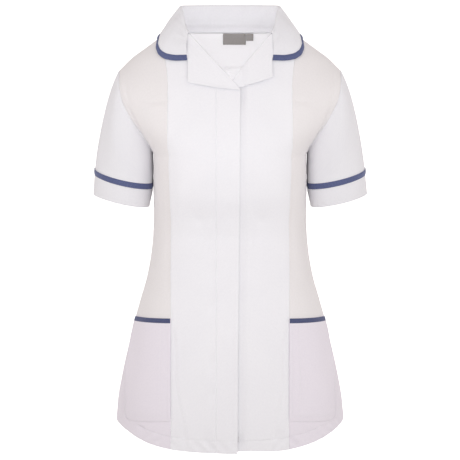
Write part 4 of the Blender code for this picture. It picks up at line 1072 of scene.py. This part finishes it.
def sleeve_columns(angle):
    """Start, two handles and end of each column's cubic."""
    z = ARM_MIDDLE_Z + ARM_HALF_Z * np.cos(angle)
    high = (1 + np.cos(angle)) / 2
    x = look_up(ARMHOLE, 1, z) + SEAM_OUT + 0.0002 * (1 - high)
    start = np.stack([x, -ARMHOLE_DEPTH * np.sin(angle), z - 0.0002 * high], axis=-1)
    end = ring(SLEEVE_END, angle)
    leave = unit(np.stack([0.04 + 0.55 * high, -0.16 * np.sin(angle), -1 + 0 * high], axis=-1))
    arrive = unit(np.stack([0.02 + 0.11 * high, 0.03 * np.sin(angle), -1 + 0 * high], axis=-1))
    reach = 0.27 * np.linalg.norm(end - start, axis=-1, keepdims=True)
    return start, start + leave * reach, end - arrive * reach, end


def clear_of_body(points):
    """Points of a sleeve held off the torso's side, further off where its braid passes."""
    x, y, z = points[..., 0], points[..., 1], points[..., 2]
    low = np.minimum(z, ARMPIT_Z - 0.0005)
    wide, deep, square = section(low, -1)
    rear = section(low, 1)[1]
    reach = np.clip(np.abs(y) / np.where(y < 0, deep, rear), 0, 0.98)
    body = wide * (1 - reach ** square) ** (1 / square)
    room = SLEEVE_CLEAR + 0.0012 * ease(z, -0.262, -0.280)
    return np.stack([np.where(z < ARMPIT_Z, np.maximum(x, body + room), x), y, z], axis=-1)


def sleeve_relief(angle, place, seed):
    """Folds of the sleeve, shallow on its inner side where it lies along the body."""
    degrees = np.degrees(angle)
    total = 0
    for toward, level, width, length, height, lean in SLEEVE_FOLDS:
        off = (degrees - toward - seed - lean * (place - level) + 180) % 360 - 180
        total += height * bell(off, width) * bell(place - level, length)
    return total * (1 - 0.9 * ease(-np.cos(angle), 0.2, 0.8))

# %% Sleeves


def sleeve(side, mirror):
    """Tube of cubics, (1-v)^3 a + 3v(1-v)^2 b + 3v^2(1-v) c + v^3 d, tucked in at the armhole."""
    p0, p1, p2, p3 = (p[:, None] for p in sleeve_columns(ANGLE))
    v = crowded(54, 0.5)[None, :, None]
    points = (1 - v) ** 3 * p0 + 3 * (1 - v) ** 2 * v * p1
    points = clear_of_body(points + 3 * (1 - v) * v * v * p2 + v ** 3 * p3)
    seam = points[:, 0] - [SEAM_OUT, 0, 0]
    face = turn_at(seam[:, 0], seam[:, 2], 1)
    wall_out = two_sided(outward, np.where(seam[:, 1] < 0, face, -face), seam[:, 2])
    inward = np.array([-1.0, 0, 0]) + wall_out * wall_out[:, :1] + [0, 0, 0.3] * (seam[:, 2:] < -0.2)
    tucks = [seam - wall_out * 0.0013 + unit(inward) * d for d in (0.0045, 0.0022, 0.0)]
    points = np.concatenate([np.stack(tucks, axis=1), points], axis=1)
    axis = points - points.mean(axis=0, keepdims=True)
    normal = grid_normals_out(points, axis, closed=True)
    from_top, from_low = runs(points, 1)
    from_top = np.maximum(from_top - from_top[:, 3:4], 0.0)
    along = runs(points, 0)[0]
    fade = ease(from_low, 0.0, 0.02) * ease(from_top, 0.0, 0.012)
    place = np.concatenate([np.zeros((1, 3)), v[..., 0]], axis=1)
    relief = sleeve_relief(ANGLE[:, None], place, 6.0 * mirror) * fade
    outside = ease(np.cos(ANGLE), -0.9, -0.4)[:, None]
    relief += seam_press(from_top, along, 2.0 + mirror, ridge=0.9) * outside
    points = points + normal * relief[..., None]
    normal = grid_normals_out(points, axis, closed=True)
    flip = np.array([mirror, 1, 1])
    sew(f"sleeve_{side}", points * flip, normal * flip, SLEEVE_TWILL_PAINTED_SHADE, (0.380, 0.235), 0.054, closed=True)

# %% Cuffs


def cuff(side, mirror):
    """Band between two rings, with a row of stitches near its lower edge."""
    share = np.linspace(0, 1, 26)[None, :, None]
    top, low = ring(SLEEVE_END, ANGLE, -0.0004), ring(CUFF_HEM, ANGLE)
    points = clear_of_body(top[:, None] + (low - top)[:, None] * share)
    normal = grid_normals_out(points, points - points.mean(axis=0, keepdims=True), closed=True)
    from_low = runs(points, 1)[1]
    along = runs(points, 0)[0]
    waves = np.sin(ANGLE * 5 + mirror)[:, None] * (np.cos(ANGLE) > -0.4)[:, None]
    relief = groove(from_low - CUFF_STITCH, along, 3.0 + mirror, 0.0002)
    relief += 0.0006 * waves * bell(from_low, 0.016)
    points = points + normal * relief[..., None]
    flip = np.array([mirror, 1, 1])
    sew(f"cuff_{side}", points * flip, normal * flip, SLEEVE_TWILL_PAINTED_SHADE, (0.350, 0.045), 0.0145,
        thick=WALL * 1.25, closed=True, lip=0.0006)
    k = nearest(from_low[AROUND // 2], CUFF_STITCH)
    round_it = np.append(np.arange(AROUND), 0)
    stitches(f"cuff_{side}_stitches", [along_grid(points * flip, normal * flip, np.s_[round_it, k])])


def cuff_braid(side, mirror):
    """Braid over the cuff's seam: rings from above it to below it, raised by the braid's section."""
    t = np.linspace(0, 1, 13)
    band = clear_of_body(np.stack([ring(SLEEVE_END, ANGLE, 0.0050 - 0.0100 * down) for down in t], axis=1))
    radial = unit((band - np.array([SLEEVE_END[0], 0, SLEEVE_END[3]])) * [1, 1, 0])
    rise = (0.0008 + crown(t))[None, :, None]
    flip = np.array([mirror, 1, 1])
    sew(f"cuff_trim_{side}", (band + radial * rise) * flip, radial * flip, BRAID, (0.345, 0.012), 0.0036,
        "braid", thick=0.0006 + crown(t)[None, :], closed=True)


for side, mirror in SIDES:
    sleeve(side, mirror)
    cuff(side, mirror)
    cuff_braid(side, mirror)

# %% [markdown]
# The collar is one folded piece: a stand that rises from the neck seam, a soft roll, and a fall that
# lies over the shoulders. Its section changes from the front to the back of the neck, so tables give
# the roll's place and the fall's edge, and the section is swept between them. Its foot is faced inside
# with a band, and navy braid binds the fall's edge.
# %% Collar
COLLAR_WALL = 0.0016
TRIM_WIDTH = 0.0088
BAND_ROW = 0.0088
# place: -1 gorge, 0 side of the neck, 1 centre back; then x, y, z of the roll
ROLL = np.array([
    (-1.00, 0.0728, -0.0495, -0.0180), (-0.66, 0.0775, -0.0350, -0.0080), (-0.33, 0.0815, -0.0210, 0.0070),
    (0.00, 0.0858, -0.0040, 0.0215), (0.15, 0.0888, 0.0100, 0.0286), (0.35, 0.0850, 0.0350, 0.0310),
    (0.60, 0.0655, 0.0560, 0.0320), (0.80, 0.0330, 0.0660, 0.0325), (1.00, 0.0000, 0.0690, 0.0325),
])
# place, angle of the fall's edge with the front positive, its height, its stand-off, outward swell
FALL = np.array([
    (-1.00, 65.7, -0.0672, 0.0034, 0.0022), (-0.80, 58.9, -0.0680, 0.0033, 0.0035),
    (-0.60, 52.0, -0.0660, 0.0034, 0.0055), (-0.42, 44.4, -0.0600, 0.0036, 0.0070),
    (-0.25, 34.0, -0.0490, 0.0034, 0.0068), (-0.10, 22.0, -0.0370, 0.0024, 0.0046),
    (0.02, 8.0, -0.0302, 0.0018, 0.0026), (0.15, -10.0, -0.0296, 0.0020, 0.0018),
    (0.35, -33.0, -0.0350, 0.0040, 0.0035), (0.60, -57.0, -0.0400, 0.0045, 0.0045),
    (0.80, -75.0, -0.0415, 0.0045, 0.0045), (1.00, -90.0, -0.0420, 0.0045, 0.0045),
])

# %% The collar's section


def collar_form():
    """Section: foot, straight stand, half-round roll, then a curve (1-t)^2 a + 2t(1-t) b + t^2 c down."""
    place = np.concatenate([np.linspace(-1, 0, 56), np.linspace(0, 1, 56)[1:]])
    neck_turn = np.where(place < 0, front_neck_turn(-place), -place * math.pi / 2)
    seam_z = np.where(place < 0, GORGE[1] * np.clip(-place, 0, 1), neck_z(np.abs(neck_turn)))
    base = two_sided(form, neck_turn, seam_z)
    base_normal = two_sided(outward, neck_turn, seam_z)
    top = np.stack([look_up(ROLL, k, place) for k in (1, 2, 3)], axis=-1)
    edge_turn = np.radians(look_up(FALL, 1, place))
    edge_z, off, swell = (look_up(FALL, k, place) for k in (2, 3, 4))
    edge = two_sided(form, edge_turn, edge_z) + two_sided(outward, edge_turn, edge_z) * off[:, None]
    foot = base - base_normal * COLLAR_WALL + unit(top - base) * 0.0014
    rise = unit(top - foot)
    out = unit(np.cross(unit(np.gradient(top, axis=0)), rise))
    out = out * np.where(np.sum(out[:, :2] * top[:, :2], axis=-1, keepdims=True) < 0, -1, 1)
    radius = (0.0020 + 0.0012 * ease(place, -1.0, -0.5))[:, None]
    hub = top - rise * radius
    profile = [foot + (hub - out * radius - foot) * t for t in np.linspace(0, 1, 15)[:-1]]
    profile += [hub + radius * (math.cos(a) * out + math.sin(a) * rise) for a in np.linspace(math.pi, 0, 13)]
    start = profile[-1]
    handle = (start + edge) / 2 + 2 * unit(out + np.array([0, 0, 0.6])) * swell[:, None]
    length = np.linalg.norm(edge - start, axis=-1, keepdims=True) + swell[:, None]
    ends = np.linspace(0, 1, 25)[1:], np.linspace(0, 1, 11)[1:]
    braid_from = 1 - TRIM_WIDTH / length
    for t in [braid_from * s for s in ends[0]] + [braid_from + (1 - braid_from) * s for s in ends[1]]:
        profile.append((1 - t) ** 2 * start + 2 * t * (1 - t) * handle + t * t * edge)
    half = np.stack(profile, axis=1)
    seen = np.concatenate([half, (half * [-1, 1, 1])[::-1][1:]], axis=0)
    normal = grid_normals(seen)
    if np.dot(normal[4, -3], seen[4, -3] * [1, 1, 0]) < 0:
        normal = -normal
    return seen, normal

# %% Collar cloth


def collar(seen, normal):
    """Collar cloth: braid's seat, faced band at its foot, and soft waves on the fall and the stand."""
    from_foot, from_edge = runs(seen, 1)
    along = runs(seen, 0)[0]
    seat = -0.0004 * bell(from_edge - TRIM_WIDTH, 0.0014)
    band = 0.0008 * ease(from_foot, 0.0126, 0.0116) - 0.0008 * bell(from_foot - 0.0134, 0.0010)
    band -= 0.0010 * bell(from_foot - BAND_ROW, 0.0010)
    soft = 0.0007 * np.sin(along / 0.019 + 0.6) * bell(from_edge - 0.030, 0.014)
    stand_soft = -0.0007 * bell(from_foot - 0.024, 0.008) * (1 + 0.6 * np.sin(along / 0.023 + 2.0))
    slant = np.sin((along + 0.6 * from_foot) / 0.0052 + 1.0) * np.sin(along / 0.017 + 0.4)
    stand_soft += 0.0006 * slant * bell(from_foot - 0.030, 0.013)
    relief = seat + band + soft + stand_soft * (from_foot < 0.045)
    cloth = seen + normal * relief[..., None]
    sew("collar", cloth, grid_normals_out(cloth, normal), SLEEVE_TWILL_PAINTED_SHADE, (0.500, 0.115), 0.042,
        thick=COLLAR_WALL * 0.8, lip=0.0004)
    k = nearest(from_foot[len(seen) // 2], BAND_ROW)
    stitches("collar_band_stitches", [along_grid(cloth, normal, np.s_[4:-4, k], 2 * STITCH_LIFT)])

# %% Collar braid


def collar_braid(seen, normal):
    """Braid on the fall's last columns, which goes on round the edge as a half ring of five columns."""
    strip_points, lift = seen[:, -11:], normal[:, -11:]
    t = np.linspace(0, 1, 11)
    rise = (0.0006 + crown(t))[None, :, None]
    bound = [strip_points + lift * rise]
    centre = strip_points[:, -1] - lift[:, -1] * COLLAR_WALL / 2
    ahead = unit(strip_points[:, -1] - strip_points[:, -2])
    around = COLLAR_WALL / 2 + 0.0005
    for angle in np.radians([30, 60, 90, 120, 150]):
        spoke = math.cos(angle) * lift[:, -1] + math.sin(angle) * 0.8 * ahead
        bound.append((centre + spoke * around)[:, None])
    bound = np.concatenate(bound, axis=1)
    guide = np.concatenate([lift] + [lift[:, -1:] + 3 * ahead[:, None]] * 5, axis=1)
    sew("collar_trim", bound, grid_normals_out(bound, guide), BRAID, (0.520, 0.018), 0.0075, "braid",
        thick=0.0007)


collar_points, collar_normal = collar_form()
collar(collar_points, collar_normal)
collar_braid(collar_points, collar_normal)

# %% [markdown]
# A lapel is the top of the front turned back along the roll line. It is ruled: straight lines run from
# points of the roll line to points of its outer edge, and each line goes on round the roll and behind
# the front as its facing. A sharp crease would look like paper, so the roll is a half circle.
# %% Lapels
LAPEL_GORGE = (GORGE[0], GORGE[1] - 0.0012)
LAPEL_TIP_X = 0.0740
LAPEL_SAG = 0.0016
LAPEL_STITCH = 0.0062

# %% The lapel's plan


def along_path(corners, at):
    """Points of a broken line at shares of its length."""
    gone = walked(corners)
    return line_at(np.array(corners), gone / gone[-1], at)


def lapel_plan(lap):
    """In x and z: roll line, and the edge from the gorge to the tip and on to the roll line's end."""
    if lap:
        tip_z, share = -0.1067, 0.459
        roll = [(0.022, -0.0763), (-FLY_EDGE, BREAK_POINT_Z)]
    else:
        tip_z, share = -0.0985, 0.46
        roll = [(0.026, -0.0770), (0.0025, -0.1062), (0.0060, -0.1160)]
    at = np.concatenate([np.linspace(0, share, 36)[:-1], np.linspace(share, 1, 46)])
    inner = along_path([LAPEL_GORGE] + roll, at)
    gorge, tip, end = (np.array(point) for point in (LAPEL_GORGE, (LAPEL_TIP_X, tip_z), roll[-1]))
    t = np.clip(at / share, 0, 1)[:, None]
    s = np.clip((at - share) / (1 - share), 0, 1)[:, None]
    outer = np.where(t < 1, gorge + (tip - gorge) * t, tip + (end - tip) * s)
    outer[:, 1] -= (LAPEL_SAG * 4 * s * (1 - s))[:, 0]
    under = ease(t, 0.0, 0.05) * ease(t, 0.56, 0.48)
    outer[:, :1] += 0.0070 * under
    return at, inner, outer, under, np.where(t < 1, t, 1 - 0.75 * s)


def away_from_roll(inner, lap):
    """Directions across the roll line, away from the lapel."""
    heading = unit(np.gradient(inner, axis=0))
    if not lap:
        heading = unit(heading + np.roll(heading, 3, axis=0) + np.roll(heading, -3, axis=0))
        heading[-6:] = heading[-7]
    away = np.stack([heading[:, 1], -heading[:, 0]], axis=-1)
    return away * np.where(np.sum(away * [1, -0.5], axis=1, keepdims=True) > 0, -1, 1)

# %% Lapel cloth


def lapel(side, mirror, lap):
    """Ruled face, inner + b (outer - inner), with the roll as a half circle and the facing behind it."""
    at, inner, outer, under, rise = lapel_plan(lap)
    reach = np.linalg.norm(outer - inner, axis=-1)[:, None]
    away = away_from_roll(inner, lap)
    b = crowded(34, 0.55)[None, :]
    flat = inner[:, None] + (outer - inner)[:, None] * b[..., None]
    tilt = b * rise
    x, z = flat[..., 0], flat[..., 1]
    base, normal = surface(turn_at(x, z, -1), z, -1, mirror)
    if lap:
        stand = 0.0008 + 0.0022 * tilt
    else:
        stand = 0.0012 + 0.0034 * tilt * ease(x, 0.020, 0.050) - step_in(x, z)
    free = (1 - b) * reach
    stand -= 0.0012 * under * ease(free, 0.0065, 0.0035)
    waves = 0.0005 * np.sin(at * 9.0 + mirror)[:, None]
    stand += waves * bell(b - 0.7, 0.3) * ease(reach, 0.01, 0.03)
    press = 0.0002 * bell(free - 0.0040, 0.0018)
    press += groove(free - LAPEL_STITCH, at[:, None] * 0.13, 2.0 + mirror, 0.0003)
    face = base + normal * (stand + COLLAR_WALL + press)[..., None]
    high = (stand[:, 0] + COLLAR_WALL)[:, None]
    low = -(WALL + 0.0006) * np.ones_like(high)
    if not lap:
        low = low - step_in(x[:, :1], z[:, :1])
    middle, radius = (high + low) / 2, (high - low) / 2
    aside = np.stack([away[:, 0] * mirror, 0 * away[:, 0], away[:, 1]], axis=-1)
    aside = unit(aside - normal[:, 0] * np.sum(aside * normal[:, 0], axis=-1, keepdims=True))
    hub = base[:, 0] + normal[:, 0] * middle
    width = np.minimum(radius, 0.0022)
    turned = [hub + radius * math.cos(a) * normal[:, 0] + width * math.sin(a) * aside
              for a in np.linspace(math.pi, 0, 11)[:-1]]
    back_in = [turned[0] - aside * d for d in np.linspace(0.014, 0, 7)[:-1]]
    grid = np.concatenate([np.stack(back_in + turned, axis=1), face], axis=1)
    behind = np.repeat(-normal[:, :1], len(back_in), axis=1)
    guide = np.concatenate([behind, np.stack(turned, axis=1) - hub[:, None], normal], axis=1)
    sew(f"lapel_{side}", grid, grid_normals_out(grid, guide), TWILL, (0.110, 0.150), 0.0070, lip=0.0003)
    rim = nearest(free[len(at) // 2], LAPEL_STITCH)
    first = int(len(at) * 0.42)
    stitches(f"lapel_{side}_stitches", [along_grid(face, normal, np.s_[first:-8, rim])])


lapel("right", -1, True)
lapel("left", 1, False)

# %% [markdown]
# The zip is concealed: the right front laps over it as a fly, whose turned-back underlay carries one
# tape. The coil is a row of nylon loops that lock from both sides. It is seen only from inside, so each
# loop is a short rounded bar of a few faces.
# %% Fly, tapes and coil
CHAIN_DEPTH = 0.0078
TAPE_DEPTH = CHAIN_DEPTH - 0.0005
UNDERLAY_DEPTH = WALL + LAYER_GAP
SEWN_DEPTH = UNDERLAY_DEPTH + LAYER_GAP + 0.0013
COIL_PITCH = 0.0015


def behind_fly(node, ends, count, depths, bend, **piece):
    """Strip behind the front: form(x, z) moved in by one depth, and by another past a bend in x."""
    z = np.linspace(-0.1210, -0.7530, 260)[:, None] + np.zeros(count)
    x = np.linspace(*ends, count) + 0 * z
    near, far = depths
    if ends[0] > 0:
        far = far + step_in(0.0, z)
    points, normal = surface(turn_at(x, z, -1), z, -1)
    depth = near + (far - near) * ease(x, *bend)
    sew(node, points - normal * depth[..., None], normal, **piece)


# The right tape is sewn to the underlay, the left one to the under front, and both meet at the chain.
tape = {"look": TAPE, "thick": 0.0007, "flat": (0.014, 0.640), "area": 0.0085, "slot": "tape"}
behind_fly("fly_underlay", (-0.0250, -0.0056), 10, (UNDERLAY_DEPTH, UNDERLAY_DEPTH), (-0.0112, -0.0056),
           look=TWILL, thick=0.0010, flat=(0.045, 0.640), area=0.0140)
behind_fly("zip_tape_right", (-0.0160, -0.0029), 12, (SEWN_DEPTH, TAPE_DEPTH), (-0.0112, -0.0056), **tape)
behind_fly("zip_tape_left", (0.0029, 0.0165), 12, (TAPE_DEPTH, UNDERLAY_DEPTH + 0.0003), (0.0056, 0.0112),
           **tape)

# %% Coil, slider and pull


def coil():
    """Bars across the zip, alternately from the left and the right, each an eight-sided rounded bar."""
    lo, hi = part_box("zip_chain")
    z = np.arange(hi[2] - 0.0008, lo[2] + 0.0008, -COIL_PITCH / 2)
    turn = turn_at(0 * z, z, -1)
    normal = outward(turn, z, -1) * [0, 1, 1]
    middle = form(turn, z, -1) * [0, 1, 1] - unit(normal) * CHAIN_DEPTH
    across = np.array([1.0, 0, 0])
    up = unit(normal)
    down = np.cross(across, up)
    hand = np.where(np.arange(len(z)) % 2 == 0, 1.0, -1.0)[:, None, None]
    angle = np.arange(8) * math.pi / 4
    reach = np.array([-0.0006, -0.0002, 0.0018, 0.0024])
    size = np.array([0.45, 1.0, 1.0, 0.5])
    tall, wide = 0.00105 * up[:, None], 0.00052 * down[:, None]
    spoke = np.cos(angle)[:, None] * tall + np.sin(angle)[:, None] * wide
    rings = [middle[:, None] + hand * across * r + spoke * s for r, s in zip(reach, size)]
    local = np.arange(32).reshape(4, 8)
    beside = np.roll(local, -1, axis=1)
    sides = np.stack([local[:-1], beside[:-1], beside[1:], local[1:]], axis=-1).reshape(-1, 4)
    near = [(0, 3, 2, 1), (0, 5, 4, 3), (0, 7, 6, 5)]
    far = [(24, 25, 26, 27), (24, 27, 28, 29), (24, 29, 30, 31)]
    pattern = np.concatenate([sides, near, far])
    first = np.arange(len(z))[:, None, None] * 32
    faces = np.concatenate([first[0::2] + pattern, first[1::2] + pattern[:, ::-1]]).reshape(-1, 4)
    made = put_in_scene("zip_chain_coil", np.stack(rings, axis=1), faces, COIL)
    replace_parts(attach(made, "tunic"), "zip_chain")
    print("zip_chain", len(z), "loops")


coil()
for node in ("zip_slider", "zip_pull"):
    metal = bpy.data.objects[node]
    metal.data.materials.clear()
    metal.data.materials.append(NICKEL)

# %% [markdown]
# Two labels hang from the back neck seam. They are bare satin, woven with a firm edge, and curl a
# little away from the yoke, which shows as a lighter lower end and a thin shadow.
# %% Labels


def label(name, x0, x1, z0, z1):
    """Grid between two x and two z behind the back neck, further in towards its end and its sides."""
    x = np.linspace(x0, x1, 30)[:, None]
    z = np.linspace(z0, z1, 26)[None, :] + 0 * x
    x = x + 0 * z
    points, normal = surface(turn_at(x, z, 1), z, 1)
    fallen = (z0 - z) / (z0 - z1)
    side_on = np.abs(2 * (x - x0) / (x1 - x0) - 1)
    inward = WALL + 0.0007 + 0.0010 * fallen ** 2 + 0.0004 * bell(side_on - 1, 0.1)
    size = (abs(x1 - x0), abs(z1 - z0) + 0.004)
    sew(name, points - normal * inward[..., None], normal, LABEL, size, size[0] * size[1] * 0.98, "label",
        "hung", thick=0.0006 + 0.0002 * bell(side_on - 0.95, 0.06))


label("label_main", -0.0127, 0.0290, -0.0196, -0.0390)
label("label_size", 0.0302, 0.0430, -0.0193, -0.0317)

# %% [markdown]
# Rows of stitches hold the fly, the hem and the left front over the zip. They lie in the troughs that
# the panels already have, a little above the cloth.
# %% Stitch rows of the front and hem
# from the torso's plain surface, less than the troughs' depth
FRONT_ROW_LIFT = -0.0002
HEM_ROW_LIFT = -0.0001


def down_front(x, mirror, top, drop=0.0):
    """Line down the front at one distance from the middle."""
    z = np.linspace(top, -0.7330, 400)
    turn = turn_at(x + 0 * z, z, -1)
    points, normal = on_torso(turn, z, -1, mirror, FRONT_ROW_LIFT)
    return points - normal * drop * step_in(x, z)[:, None], normal


def round_hem(side, first, last, mirror=1):
    """Line round the hem between two angles."""
    turn = np.linspace(math.radians(first), math.radians(last), 300)
    return on_torso(turn, hem_z(turn) + HEM_DEEP, side, mirror, HEM_ROW_LIFT)


stitches("fly_stitches", [down_front(STITCH_X, -1, -0.1180)])
stitches("left_front_stitches", [down_front(TAPE_X, 1, -0.1260, drop=1.0)])
stitches("hem_stitches", [round_hem(-1, 3, 88, -1), round_hem(-1, 3, 84, 1), round_hem(1, 3, 177)])

# %% [markdown]
# The studio is plain: a round floor of white paper that curves up into a wall on every side, so each
# view has it as background, and large soft lamps that keep the shadows on white cloth soft. The paper
# glows a little and throws no light or shadow on the tunic. The camera is at the photo's height, far
# back, with a long lens.
# %% Floor and lamps


def studio():
    """A round floor that curves up into a wall on every side: one profile turned about the middle."""
    floor_z, far, bend = -0.90, 6.0, 1.5
    arc = np.linspace(-math.pi / 2, 0, 13)
    reach = np.concatenate([[0.0], far - bend + bend * np.cos(arc), [far]])
    height = np.concatenate([[floor_z], floor_z + bend + bend * np.sin(arc), [5.0]])
    turn = np.arange(72)[:, None] * math.pi / 36
    points = np.stack([reach * np.cos(turn), reach * np.sin(turn), height + 0 * turn], axis=-1)
    number = np.arange(points.shape[0] * points.shape[1]).reshape(points.shape[:2])
    white = linear("#ffffff")
    paper = {"Base Color": white, "Roughness": 0.9, "Emission Color": white, "Emission Strength": 0.9}
    look = new_look("studio_white_paper", paper)[0]
    sweep = put_in_scene("studio_sweep", points, cells(number, True)[:, ::-1], look)
    # its own glow would fill the folds with light, so the tunic doesn't see it
    sweep.visible_diffuse = False
    sweep.visible_shadow = False


def softbox(name, place, aim, size, power, colour):
    """Square area light that looks at a point."""
    lamp = bpy.data.lights.new(name, "AREA")
    lamp.shape = "SQUARE"
    lamp.size = size
    lamp.energy = power
    lamp.color = colour
    made = bpy.data.objects.new(name, lamp)
    bpy.context.scene.collection.objects.link(made)
    made.location = place
    made.visible_camera = False
    way = np.array(aim, float) - np.array(place, float)
    flat = math.hypot(way[0], way[1])
    made.rotation_euler = (math.atan2(flat, -way[2]), 0, math.atan2(way[0], -way[1]) + math.pi)


# name, place, what it looks at, width, watts, colour
LAMPS = (
    ("key", (-0.16, -0.95, -0.10), (0, 0, -0.12), 0.75, 2.68, (0.96, 0.985, 1.0)),
    ("fill", (1.5, -2.4, 0.1), (0, 0, -0.35), 1.8, 9, (0.95, 0.98, 1.0)),
    ("side_left", (-2.2, -0.4, 0.45), (0, 0, -0.10), 1.6, 6.4, (1.0, 0.985, 0.975)),
    ("side_right", (2.2, -0.4, 0.45), (0, 0, -0.10), 1.6, 6.4, (1.0, 0.985, 0.975)),
    ("inside_neck", (0, -0.035, -0.20), (0, 0.085, -0.05), 0.10, 0.135, (1.0, 0.99, 0.98)),
)
studio()
for lamp in LAMPS:
    softbox(*lamp)

# %% Air, camera and finish
world = bpy.data.worlds.new("studio_air")
bpy.context.scene.world = world
world.use_nodes = True
world.node_tree.nodes["Background"].inputs["Color"].default_value = linear("#fff8f5")
world.node_tree.nodes["Background"].inputs["Strength"].default_value = 0.592
# the camera's place, tilt and lens are fitted to the photo's frame
lens = bpy.data.cameras.new("camera")
lens.lens = 137.74
lens.sensor_width = 36.0
camera = bpy.data.objects.new("camera", lens)
camera.location = (0.0, -3.18247, -0.04049)
camera.rotation_euler = (math.radians(84.0), 0.0, 0.0)
bpy.context.scene.collection.objects.link(camera)
bpy.context.scene.camera = camera
bpy.context.scene.view_settings.view_transform = "Standard"
